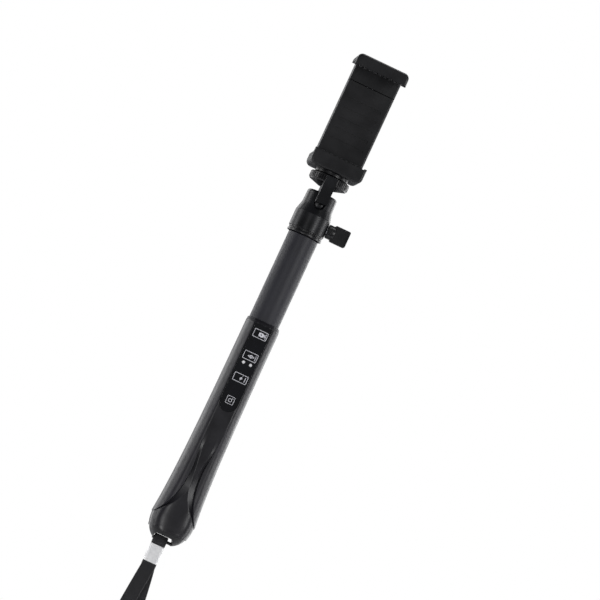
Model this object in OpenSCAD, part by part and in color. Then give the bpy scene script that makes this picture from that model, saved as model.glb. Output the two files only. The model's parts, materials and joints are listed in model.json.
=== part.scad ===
// Selfie stick with a button handle, telescopic tubes, a small ball head, a phone clamp and a wrist strap.
// Millimetres. +Z runs up along the stick, the button panel faces -Y and the ball head's knob points along +X.
// The origin is on the tubes' axis in the middle of the hand grip. Heights are written above the handle's
// lower end, and from_base() moves them into that frame.

/* [Handle] */
// Height of the handle above its lower end
handle_len = 145; // [135:1:160]
// Height of the hand grip's middle above the handle's lower end
grip_height = 60; // [50:1:80]
// Half the width of the handle beside the buttons
neck_half_w = 10.5; // [10.5:0.1:12]
// Half the width of the handle at its widest
bulb_half_w = 13.9; // [12:0.1:16]
// Height of the widest section
bulb_z = 16.5; // [14:0.5:20]
// Half the front-to-back depth of the handle
half_depth = 14.25; // [13.5:0.25:16]
// How far the handle's section sits in front of the tubes' axis
front_shift = 2.75; // [2:0.25:4]
// Distance of the flat front face from the tubes' axis
front_flat = 15.6; // [15:0.1:16.5]
// Thickness of the soft side grips
grip_skin = 0.7; // [0.5:0.1:0.8]
// Height of the seam between the end cap and the shells
cap_seam = 7.2; // [6.5:0.1:8]

/* [Buttons] */
// Width of the button panel
panel_w = 11.2; // [11:0.1:11.6]
// Height of the panel's rounded lower end
panel_bottom = 86.7; // [84:0.1:90]
// Height of the panel's square upper end
panel_top = 142.3; // [141:0.1:143]
// Width of the three wide keys
key_w = 9.2; // [8:0.1:9.4]
// Height of the three wide keys
key_h = 5.6; // [5:0.1:6]
// Side of the square shutter key
shutter_w = 5.4; // [5:0.1:6]
// How far a key stands out of the panel
key_proud = 0.25; // [0.1:0.05:0.4]

/* [Tubes] */
// Outer diameter of the fixed outer tube
tube_od = 19; // [19:0.1:19.2]
// Step in diameter from each tube to the next
tube_step = 2.5; // [2.4:0.1:2.6]
// Wall thickness of every tube
tube_wall = 0.6; // [0.5:0.05:0.65]
// Height of the nested tubes' lower ends
tube_bottom = 46; // [45:0.5:50]
// Height of the outer tube's upper end
tube_top = 202; // [190:1:215]

/* [Ball head] */
// Radius of the ball
ball_r = 7.5; // [7.2:0.1:7.6]
// Height of the ball's centre above the outer tube
ball_rise = 21; // [20.5:0.1:22]
// Radius of the housing
housing_r = 11.25; // [11:0.05:11.4]
// Radius of the ball's stem
stem_r = 2.8; // [2.6:0.1:3]
// Radius of the knurled lock disc
disc_r = 12.5; // [11.5:0.1:13]

/* [Phone clamp] */
// Width of both jaws
jaw_w = 33.8; // [32:0.1:36]
// Closed distance between the jaws' pads
phone_gap = 58.6; // [55:0.1:60]
// Front-to-back room for the phone
phone_room = 10; // [9:0.5:12]
// How far each front lip reaches over the phone
lip_over = 1.9; // [1.5:0.1:3]

/* [Wrist strap] */
// Width of the webbing
strap_w = 8.6; // [8:0.1:10]
// Thickness of the webbing
strap_t = 1; // [0.8:0.1:1.2]

/* [Hidden] */
$fn = 96;
e = 0.01;

// Handle section and its levels
section_power = 2.4;
section_sides = 48;
bulb_bottom_r = 16.8;
bulb_power = 2.3;
taper_z = 142.3;
grip_low_z = 15;
strip_half_w = 3.8;
rear_spine = 5.5;
loft_z = concat([for (z = [0.2 : 1.75 : 14.2]) z], [for (z = [bulb_z : 9 : 138]) z],
    [taper_z, handle_len]);

// Panel stack, as distances in front of the tubes' axis
panel_front = front_flat + 0.4;
panel_back = front_flat - 0.6;
membrane_front = 14.4;
membrane_back = 13.7;
board_front = 13.2;
board_back = 12.2;
bay_back = 10.4;
key_z = [136.7, 122.5, 108.3, 94];
key_fit = 0.15;
light_z = 117.8;
light_x = 2.3;

// Lower cavity, between the end cap and the tubes
cavity_low = 16;
cavity_high = 42;
battery_back = 2.7;
charge_board_y = 5.2;
usb_z = 24;
switch_z = 36.5;
switch_x = 1;

// Tubes: number 0 is the fixed outer tube
bush_len = 12;
tail_len = 8;
slide_gap = 0.05;

// Ball head
flange_r = 10.95;
base_z = tube_top + 0.3;
housing_z = base_z + 3;
ball_z = tube_top + ball_rise;
cavity_r = ball_r + 0.1;
plug_r = 3.85;
stem_slot_r = 3.6;
shoulder_z = 216;
seat_low = base_z + 6.5;
knob_z = 211;
screw_r = 2;
stud_r = 3.175;
stem_top = 235.5;
disc_low = 234;
disc_rim_low = 236.8;
disc_top = 240.8;

// Phone clamp: the slot's back wall lies at slot_y and its lips in front of slot_y - phone_room
clamp_low = 241;
jaw_low = 243;
pad_low = 251;
pad_high = pad_low + phone_gap;
pad_t = 1;
slot_y = -2;
lip_t = 2;
lip_y = slot_y - phone_room;
clamp_back = 8;
rail_house_top = 299.5;
rail_house_w = 30;
rail_x = 9;
rail_w = 3.5;
rail_y = 0.5;
rail_d = 5;
rail_low = 262;
rail_fit = 0.2;
jaw_top = pad_high + 6;
tooth_pitch = 3.2;
tooth_r = 0.9;
spring_y = 3;
spring_r = 2.9;
spring_low = 256;
spring_high = 304;
pin_r = 1;

// Wrist strap: the bar it hangs from and its route below the crimp, in heights above the handle's end
bar_z = 1.9;
bar_r = 0.95;
fold_r = bar_r + 0.15;
fold_rise = 1.2;
fold_foot = 0.1;
slot_left = -7;
slot_right = 5.3;
slot_top = 4.8;
crimp_top = -1.8;
crimp_len = 11;
strap_x = -1.9;
strap_y = -front_shift;
strap_route = [[0, 0.8, -12.8], [0, 0.9, -15], [1.1, 1.6, -21], [3.6, 4, -38], [7.2, 12, -68],
    [9.6, 19, -98], [9.8, 22, -126], [7, 16, -148], [2, 5.5, -159], [-2, -7.5, -159],
    [-6.6, -17, -147], [-8.8, -22, -125], [-8.2, -19, -97], [-5.6, -12, -67], [-2.4, -4, -37],
    [-0.7, -1.6, -21], [0, -0.9, -15], [0, -0.8, -12.8]];
strap_tube_t = 1.4;

// --- helpers -----------------------------------------------------------------------------------

module from_base()
    translate([0, 0, -grip_height])
        children();

// A box given by its two opposite corners
module span(low, high)
    translate(low)
        cube(high - low);

// A straight round bar or tube along Z between two heights
module pipe(low, high, outer, inner = 0)
    translate([0, 0, low])
        difference() {
            cylinder(h = high - low, r = outer);
            if (inner > 0)
                translate([0, 0, -1])
                    cylinder(h = high - low + 2, r = inner);
        }

// A rounded rectangle in the XZ plane, extruded along Y from y0 to y1
module front_plate(w, z0, z1, corner_low, corner_high, y0, y1)
    translate([0, y1, 0])
        rotate([90, 0, 0])
            linear_extrude(y1 - y0)
                hull() {
                    for (side = [-1, 1]) {
                        translate([side * (w / 2 - corner_low), z0 + corner_low])
                            circle(corner_low, $fn = 32);
                        translate([side * (w / 2 - corner_high), z1 - corner_high])
                            circle(corner_high, $fn = 32);
                    }
                }

// --- handle section ----------------------------------------------------------------------------

// 1 above the bulb, shrinking to the rounded lower end
function bulb(z) = z >= bulb_z ? 1
    : pow(1 - pow((bulb_z - z) / bulb_bottom_r, bulb_power), 1 / bulb_power);

// 0 below the shoulder, 1 at the handle's upper end
function shoulder(z) = max(0, min(1, (z - taper_z) / (handle_len - taper_z)));

function half_w(z) = z < bulb_z ? bulb_half_w * bulb(z)
    : neck_half_w + (bulb_half_w - neck_half_w) * exp(-(z - bulb_z) / 33) - 0.35 * shoulder(z);

function half_d(z) = half_depth * bulb(z) - (half_depth - 10.2) * shoulder(z);

function centre_y(z) = -front_shift * (1 - shoulder(z));

function power(z) = section_power - (section_power - 2) * shoulder(z);

function bend(c, n) = sign(c) * pow(abs(c), 2 / n);

function section(z, inset) = [for (i = [0 : section_sides - 1])
    let (t = 360 * i / section_sides)
        [(half_w(z) - inset) * bend(cos(t), power(z)),
         max(centre_y(z) + (half_d(z) - inset) * bend(sin(t), power(z)), inset - front_flat),
         z]];

function side_faces(rings, sides) = [for (j = [0 : rings - 2], i = [0 : sides - 1], half = [0, 1])
    let (a = j * sides + i, b = j * sides + (i + 1) % sides)
        half == 0 ? [a, a + sides, b] : [b, a + sides, b + sides]];

module skin_loft(inset)
    polyhedron(
        [for (z = loft_z) each section(z, inset)],
        concat(side_faces(len(loft_z), section_sides),
            [[for (i = [0 : section_sides - 1]) i],
             [for (i = [section_sides - 1 : -1 : 0]) (len(loft_z) - 1) * section_sides + i]]));

// Inner edge of the side grips on the front face: close together above the bulb, flaring out below
function grip_edge(z) = z < 50 ? strip_half_w + 10.5 * pow((50 - z) / 35, 2.6)
    : strip_half_w + (panel_w / 2 + 0.7 - strip_half_w) * min(1, (z - 50) / 34);

module grip_zone(side)
    scale([side, 1, 1]) {
        translate([0, strap_y, 0])
            rotate([90, 0, 0])
                linear_extrude(30)
                    polygon(concat([for (z = [grip_low_z : 3.5 : 155]) [grip_edge(z), z]],
                        [[25, 155], [25, grip_low_z]]));
        span([rear_spine, strap_y - e, grip_low_z], [25, 25, 155]);
    }

module side_grip(side)
    difference() {
        intersection() {
            skin_loft(0);
            grip_zone(side);
        }
        skin_loft(grip_skin);
        pipe(tube_bottom, 160, tube_od / 2);
    }

module handle_core()
    difference() {
        skin_loft(0);
        difference() {
            union() {
                grip_zone(1);
                grip_zone(-1);
            }
            skin_loft(grip_skin);
        }
        pipe(tube_bottom - 2, 160, tube_od / 2);
        // room for the battery and the charging board
        span([-8.8, -12.8, cavity_low], [8.8, 8.6, cavity_high]);
        // end cap below the seam, and its spigot
        span([-20, -25, -5], [20, 25, cap_seam]);
        cap_spigot();
        shell_screw_shapes();
    }

module cap_spigot()
    span([-6, strap_y - 5, cap_seam - e], [6, strap_y + 5, cap_seam + 3]);

module shell_screw_shapes()
    for (side = [-1, 1])
        translate([side * 8.4, 0, 12])
            rotate([90, 0, 0]) {
                translate([0, 0, -8])
                    cylinder(h = 14, r = 1.1);
                translate([0, 0, -8])
                    cylinder(h = 1.6, r = 2);
            }

module panel_outline()
    translate([0, -panel_back, 0])
        rotate([90, 0, 0])
            linear_extrude(panel_front - panel_back)
                union() {
                    translate([0, panel_bottom + panel_w / 2])
                        circle(panel_w / 2);
                    translate([-panel_w / 2, panel_bottom + panel_w / 2])
                        square([panel_w, panel_top - panel_bottom - panel_w / 2]);
                }

// --- handle nodes ------------------------------------------------------------------------------

module front_shell()
    color("#1b1b1e")
        from_base()
            difference() {
                intersection() {
                    handle_core();
                    span([-20, -25, 0], [20, 0, 160]);
                }
                // recess of the panel and the electronics bay behind it
                panel_outline();
                span([-4.95, -panel_back - e, 89.5], [4.95, -bay_back, 141.5]);
                span([-6.6, -14.5, 60], [6.6, -bay_back, 141.5]);
                // way for the flexible lead between the bay and the battery
                span([-3, -13.4, cavity_high - 7], [3, -board_back, 62.5]);
            }

module rear_shell()
    color("#1b1b1e")
        from_base()
            difference() {
                intersection() {
                    handle_core();
                    span([-20, 0, 0], [20, 25, 160]);
                }
                // openings of the charging socket and of the power switch
                span([-4.1, 5, usb_z - 1.7], [4.1, 25, usb_z + 1.7]);
                span([-3, 8, switch_z - 1.6], [3, 25, switch_z + 1.6]);
                // screw heads are reached from behind
                for (side = [-1, 1])
                    translate([side * 8.4, 25, 12])
                        rotate([90, 0, 0])
                            cylinder(h = 17, r = 2);
            }

module left_grip()
    color("#3a3a3e")
        from_base()
            side_grip(-1);

module right_grip()
    color("#3a3a3e")
        from_base()
            side_grip(1);

module end_cap()
    color("#222225")
        from_base() {
            difference() {
                intersection() {
                    skin_loft(0);
                    span([-20, -25, 0], [20, 25, cap_seam]);
                }
                span([slot_left, -25, -5], [slot_right, 25, slot_top]);
            }
            cap_spigot();
            translate([slot_left - 0.5, strap_y, bar_z])
                rotate([0, 90, 0])
                    cylinder(h = slot_right - slot_left + 1, r = bar_r);
        }

module shell_screws()
    color("silver")
        from_base()
            shell_screw_shapes();

module button_panel()
    color("#08080a")
        from_base()
            difference() {
                panel_outline();
                for (i = [0 : 3])
                    let (w = i < 3 ? key_w : shutter_w, h = i < 3 ? key_h : shutter_w)
                        span([-w / 2 - key_fit, -20, key_z[i] - h / 2 - key_fit],
                            [w / 2 + key_fit, 0, key_z[i] + h / 2 + key_fit]);
                light_holes();
            }

module light_holes()
    for (side = [-1, 1])
        translate([side * light_x, 0, light_z])
            rotate([90, 0, 0])
                cylinder(h = 20, r = 1);

module key(i, w, h)
    color("#101014")
        from_base()
            span([-w / 2, -panel_front - key_proud, key_z[i] - h / 2],
                [w / 2, -panel_back + 0.05, key_z[i] + h / 2]);

module video_key()
    key(0, key_w, key_h);

module mirror_key()
    key(1, key_w, key_h);

module flash_key()
    key(2, key_w, key_h);

module shutter_key()
    key(3, shutter_w, shutter_w);

module key_membrane()
    color("#46464a")
        from_base()
            difference() {
                span([-4.8, -membrane_front, 90], [4.8, -membrane_back, 141]);
                light_holes();
            }

module circuit_board()
    color("#1d5a34")
        from_base()
            span([-6, -board_front, 62], [6, -board_back, 141]);

module dome_switches()
    color("silver")
        from_base()
            for (z = key_z)
                translate([0, -board_front, z])
                    rotate([90, 0, 0])
                        cylinder(h = 0.4, r = 2);

module radio_chip()
    color("#2a2a2c")
        from_base()
            span([-3, -board_back, 70], [3, -board_back + 1.2, 77]);

module light_pipes()
    color("#f4f4f6")
        from_base()
            for (side = [-1, 1])
                translate([side * light_x, -board_front, light_z])
                    rotate([90, 0, 0])
                        cylinder(h = panel_front - board_front + 0.05, r = 0.95);

module battery()
    color("#b9bec6")
        from_base()
            span([-8.5, -12.7, cavity_low + 0.5], [8.5, -battery_back, cavity_high - 1]);

module battery_flex()
    color("#b46a28")
        from_base()
            span([-2, -12.9, cavity_high - 6], [2, -12.7, 62]);

module charge_board()
    color("#1d5a34")
        from_base()
            span([-7, charge_board_y, cavity_low + 1], [7, charge_board_y + 1, cavity_high - 1]);

module charge_flex()
    color("#b46a28")
        from_base()
            span([-1.5, -battery_back, 30], [1.5, charge_board_y, 30.3]);

module usb_socket()
    color("silver")
        from_base()
            difference() {
                span([-3.9, charge_board_y + 1, usb_z - 1.5], [3.9, 11.2, usb_z + 1.5]);
                span([-3.5, charge_board_y + 3, usb_z - 1.1], [3.5, 12, usb_z + 1.1]);
            }

module switch_case()
    color("#cfd2d6")
        from_base()
            span([-4, charge_board_y + 1, switch_z - 2], [4, 8.6, switch_z + 2]);

module switch_slider()
    color("#101012")
        from_base()
            span([-switch_x - 1.5, 8.7, switch_z - 1.3], [-switch_x + 1.5, 12, switch_z + 1.3]);

module tube_plug()
    color("#202023")
        from_base()
            pipe(tube_bottom - 2, tube_bottom, tube_od / 2);

// --- telescopic tubes --------------------------------------------------------------------------

function tube_r(i) = (tube_od - i * tube_step) / 2;

module tube(i, low, high)
    from_base()
        pipe(low, high, tube_r(i), tube_r(i) - tube_wall);

// Plastic ring in the mouth of tube i, which the next tube runs in
module bush(i)
    color("#2c2c30")
        from_base()
            pipe(tube_top - bush_len, tube_top, tube_r(i) - tube_wall, tube_r(i + 1) + slide_gap);

// Plastic ring round the foot of tube i, which runs in the tube outside it
module tail(i)
    color("#2c2c30")
        from_base()
            pipe(tube_bottom + 0.5, tube_bottom + 0.5 + tail_len,
                tube_r(i - 1) - tube_wall - slide_gap, tube_r(i));

module outer_tube()
    color("#3d3d46")
        tube(0, tube_bottom, tube_top);

module tube_2()
    color("silver")
        tube(1, tube_bottom + 0.5, tube_top);

module tube_3()
    color("silver")
        tube(2, tube_bottom + 0.5, tube_top);

module tube_4()
    color("silver")
        tube(3, tube_bottom + 0.5, tube_top);

module tube_5()
    color("silver")
        tube(4, tube_bottom + 0.5, base_z);

module bush_1()
    bush(0);

module bush_2()
    bush(1);

module bush_3()
    bush(2);

module bush_4()
    bush(3);

module tail_2()
    tail(1);

module tail_3()
    tail(2);

module tail_4()
    tail(3);

module tail_5()
    tail(4);

// --- ball head ---------------------------------------------------------------------------------

module head_base()
    color("#19191c")
        from_base()
            rotate_extrude()
                polygon([[0, base_z - 14], [plug_r, base_z - 14], [plug_r, base_z], [flange_r, base_z],
                    [flange_r, base_z + 1.6], [flange_r - 0.5, base_z + 2], [flange_r - 0.5, base_z + 3],
                    [cavity_r, base_z + 3], [cavity_r, base_z + 5.2], [0, base_z + 5.2]]);

module head_housing()
    color("#19191c")
        from_base()
            difference() {
                rotate_extrude()
                    polygon([[0, housing_z], [housing_r, housing_z], [housing_r, shoulder_z], [9.8, 221],
                        [9.5, 228.3], [8.9, 229.7], [7.9, 230.3], [0, 230.3]]);
                translate([0, 0, housing_z - 1])
                    cylinder(h = ball_z - housing_z + 1, r = cavity_r);
                translate([0, 0, ball_z])
                    sphere(cavity_r);
                translate([0, 0, ball_z + 4])
                    cylinder(h = 8, r1 = 5.2, r2 = 9.2);
                // slot in front that lets the stem fold down
                translate([0, 0, ball_z])
                    rotate([90, 0, 0])
                        cylinder(h = 15, r = stem_slot_r);
                span([-stem_slot_r, -15, ball_z], [stem_slot_r, 0, ball_z + 15]);
                // threaded hole of the lock screw
                translate([0, 0, knob_z])
                    rotate([0, 90, 0])
                        cylinder(h = 15, r = screw_r + slide_gap);
            }

module ball_stem()
    color("#2a2a2e")
        from_base() {
            translate([0, 0, ball_z])
                sphere(ball_r);
            pipe(ball_z + 4, stem_top, stem_r);
            pipe(stem_top, clamp_low + 7.2, stud_r);
        }

module ball_seat()
    color("#c9c9c4")
        from_base()
            difference() {
                pipe(seat_low, ball_z - 4.2, cavity_r);
                translate([0, 0, ball_z])
                    sphere(ball_r + 0.05);
                // pocket of the friction shoe
                span([2.8, -3.2, base_z], [10, 3.2, knob_z + 3.2]);
            }

module seat_spring()
    color("silver")
        from_base()
            pipe(base_z + 5.2, seat_low, cavity_r - 0.4, 4.5);

module friction_shoe()
    color("#b08d57")
        from_base()
            span([3, -2.8, knob_z - 1.5], [6.2, 2.8, knob_z + 2.6]);

module lock_screw()
    color("silver")
        from_base()
            translate([6.2, 0, knob_z])
                rotate([0, 90, 0])
                    cylinder(h = 12, r = screw_r);

module lock_knob()
    color("#19191c")
        from_base()
            difference() {
                translate([0, 0, knob_z])
                    union() {
                        translate([housing_r + 0.3, 0, 0])
                            rotate([0, 90, 0])
                                cylinder(h = 5, r = 4.4);
                        span([15.2, -2.3, -5.2], [25, 2.3, 5.2]);
                    }
                translate([0, 0, knob_z])
                    rotate([0, 90, 0])
                        cylinder(h = 19.2, r = screw_r + slide_gap);
            }

module lock_disc()
    color("#232326")
        from_base()
            difference() {
                rotate_extrude()
                    polygon([[0, disc_low], [5.4, disc_low], [disc_r - 0.4, disc_rim_low - 0.4],
                        [disc_r, disc_rim_low], [disc_r, disc_top - 0.4], [disc_r - 0.5, disc_top],
                        [0, disc_top]]);
                translate([0, 0, disc_low - 1])
                    cylinder(h = 10, r = stud_r + slide_gap);
            }

// --- phone clamp -------------------------------------------------------------------------------

module rail_channels(fit)
    for (side = [-1, 1])
        scale([side, 1, 1])
            span([rail_x - fit, rail_y - fit, rail_low - 2], [rail_x + rail_w + fit, rail_y + rail_d + fit, 340]);

module clamp_body()
    color("#17171a")
        from_base()
            difference() {
                union() {
                    front_plate(jaw_w, jaw_low + 1.2, pad_low + lip_over - 0.7, 3, 0.4,
                        lip_y - lip_t, lip_y);
                    span([-jaw_w / 2, lip_y, jaw_low], [jaw_w / 2, clamp_back, pad_low - pad_t]);
                    span([-rail_house_w / 2, slot_y, pad_low - pad_t],
                        [rail_house_w / 2, clamp_back, rail_house_top]);
                    pipe(clamp_low, jaw_low, 10.5);
                }
                rail_channels(rail_fit);
                // spring tunnel, and the recess of the back cover over it
                span([-4, 0, spring_low - 5], [4, 6.5, rail_house_top + 1]);
                span([-14, 6.5, pad_low], [14, 12, rail_house_top + 1]);
                pipe(clamp_low - 1, clamp_low + 8, 4.5);
                cover_screw_shapes();
                spring_pin_at(spring_low - 1.5);
            }

module back_cover()
    color("#17171a")
        from_base()
            difference() {
                span([-14, 6.5, pad_low], [14, clamp_back, rail_house_top]);
                cover_screw_shapes();
            }

module cover_screw_shapes()
    for (side = [-1, 1], z = [pad_low + 5, 290])
        translate([side * 6.4, clamp_back, z])
            rotate([90, 0, 0]) {
                cylinder(h = 8, r = 0.9);
                cylinder(h = 1, r = 1.7);
            }

module cover_screws()
    color("silver")
        from_base()
            cover_screw_shapes();

module thread_insert()
    color("#b08d57")
        from_base()
            pipe(clamp_low, clamp_low + 8, 4.5, stud_r + slide_gap);

// Rubber pad: a plate on the jaw's floor, a facing behind the lip, and a row of teeth along the lip's edge
module pad(floor_z, up)
    from_base()
        translate([0, 0, floor_z])
            scale([1, 1, up]) {
                span([-jaw_w / 2 + 0.5, lip_y, -pad_t], [jaw_w / 2 - 0.5, slot_y - 0.05, 0]);
                for (i = [-5 : 5])
                    translate([i * tooth_pitch - tooth_r, lip_y - lip_t, lip_over - 0.7])
                        cube([2 * tooth_r, lip_t, 0.7]);
            }

module lower_pad()
    color("#2b2b2e")
        pad(pad_low, 1);

module spring_pin_at(z)
    translate([0, 7, z])
        rotate([90, 0, 0])
            cylinder(h = 8, r = pin_r);

module lower_spring_pin()
    color("silver")
        from_base()
            translate([0, 0, spring_low - 1.5])
                intersection() {
                    spring_pin_at(0);
                    span([-2, -1, -2], [2, 6.5, 2]);
                }

module clamp_spring()
    color("silver")
        from_base()
            translate([0, spring_y, 0])
                pipe(spring_low, spring_high - 2.5, spring_r, spring_r - 0.8);

module upper_jaw()
    color("#17171a")
        from_base()
            difference() {
                union() {
                    front_plate(jaw_w, pad_high - lip_over + 0.7, jaw_top, 0.4, 3, lip_y - lip_t, lip_y);
                    span([-jaw_w / 2, lip_y, pad_high + pad_t], [jaw_w / 2, clamp_back, jaw_top - 0.6]);
                    span([-rail_house_w / 2, slot_y, rail_house_top + 0.5],
                        [rail_house_w / 2, clamp_back, pad_high + pad_t]);
                    for (side = [-1, 1])
                        scale([side, 1, 1])
                            span([rail_x, rail_y, rail_low],
                                [rail_x + rail_w, rail_y + rail_d, rail_house_top + 1]);
                }
                span([-4, 0, rail_house_top - 1], [4, 6.5, spring_high + 2]);
                spring_pin_at(spring_high - 1);
            }

module upper_pad()
    color("#2b2b2e")
        pad(pad_high, -1);

module upper_spring_pin()
    color("silver")
        from_base()
            intersection() {
                spring_pin_at(spring_high - 1);
                span([-2, -1, 290], [2, 6.9, 320]);
            }

// --- wrist strap -------------------------------------------------------------------------------

// Arch of the fold over the bar, a little higher than round
function fold_arch(r) = [for (i = [0 : 12]) [r * cos(15 * i), fold_rise * r * sin(15 * i)]];

// Webbing folded round the end cap's bar, with both legs led into the crimp
module strap_anchor()
    color("#1c1c1f")
        from_base()
            translate([strap_x - strap_w / 2, strap_y, bar_z])
                rotate([90, 0, 90])
                    linear_extrude(strap_w)
                        polygon(concat([[fold_foot + strap_t, crimp_top - bar_z]], fold_arch(fold_r + strap_t),
                            [[-fold_foot - strap_t, crimp_top - bar_z], [-fold_foot, crimp_top - bar_z]],
                            [for (i = [12 : -1 : 0]) fold_arch(fold_r)[i]],
                            [[fold_foot, crimp_top - bar_z]]));

module strap_crimp()
    color("silver")
        from_base()
            span([strap_x - strap_w / 2 - 0.2, strap_y - 1.6, crimp_top - crimp_len],
                [strap_x + strap_w / 2 + 0.2, strap_y + 1.6, crimp_top]);

function unit(v) = v / norm(v);

// A point on a smooth curve through the route, where whole values of t are the route's own points
function route_at(p, t) =
    let (n = len(p), i = min(n - 2, floor(t)), f = t - i,
        a = p[max(0, i - 1)], b = p[i], c = p[i + 1], d = p[min(n - 1, i + 2)])
        0.5 * (2 * b + (c - a) * f + (2 * a - 5 * b + 4 * c - d) * f * f
            + (3 * b - a - 3 * c + d) * f * f * f);

// Flattened section of the strap, its width along X and its thickness square to the route
function strap_ring(p, t) =
    let (here = route_at(p, t), ahead = unit(route_at(p, min(len(p) - 1, t + 0.01))
            - route_at(p, max(0, t - 0.01))),
        thin = unit(cross(ahead, [1, 0, 0])), flat = cross(thin, ahead))
        [for (i = [0 : 7])
            here + flat * (strap_w / 2 * cos(45 * i + 22.5) / cos(22.5))
                + thin * (strap_tube_t / 2 * sin(45 * i + 22.5) / cos(22.5))];

module wrist_strap()
    color("#1c1c1f")
        from_base() {
            steps = 2;
            rings = steps * (len(strap_route) - 1) + 1;
            translate([strap_x, strap_y, 0])
                polyhedron(
                    [for (j = [0 : rings - 1]) each strap_ring(strap_route, j / steps)],
                    concat(side_faces(rings, 8),
                        [[for (i = [0 : 7]) i],
                         [for (i = [7 : -1 : 0]) (rings - 1) * 8 + i]]));
        }

// --- selection ---------------------------------------------------------------------------------

front_shell();
rear_shell();
left_grip();
right_grip();
end_cap();
shell_screws();
button_panel();
video_key();
mirror_key();
flash_key();
shutter_key();
key_membrane();
circuit_board();
dome_switches();
radio_chip();
light_pipes();
battery();
battery_flex();
charge_board();
charge_flex();
usb_socket();
switch_case();
switch_slider();
tube_plug();
outer_tube();
tube_2();
tube_3();
tube_4();
tube_5();
bush_1();
bush_2();
bush_3();
bush_4();
tail_2();
tail_3();
tail_4();
tail_5();
head_base();
head_housing();
ball_stem();
ball_seat();
seat_spring();
friction_shoe();
lock_screw();
lock_knob();
lock_disc();
clamp_body();
back_cover();
cover_screws();
thread_insert();
lower_pad();
lower_spring_pin();
clamp_spring();
upper_jaw();
upper_pad();
upper_spring_pin();
strap_anchor();
strap_crimp();
wrist_strap();
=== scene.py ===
"""Selfie stick: the looks of every piece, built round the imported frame.

Sizes are in millimetres. Heights are counted from the handle's lower end, and at() turns them
into the frame's metres. +Z runs up the stick, the button panel faces -Y and the lock knob +X.
"""

import json
import math

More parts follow.
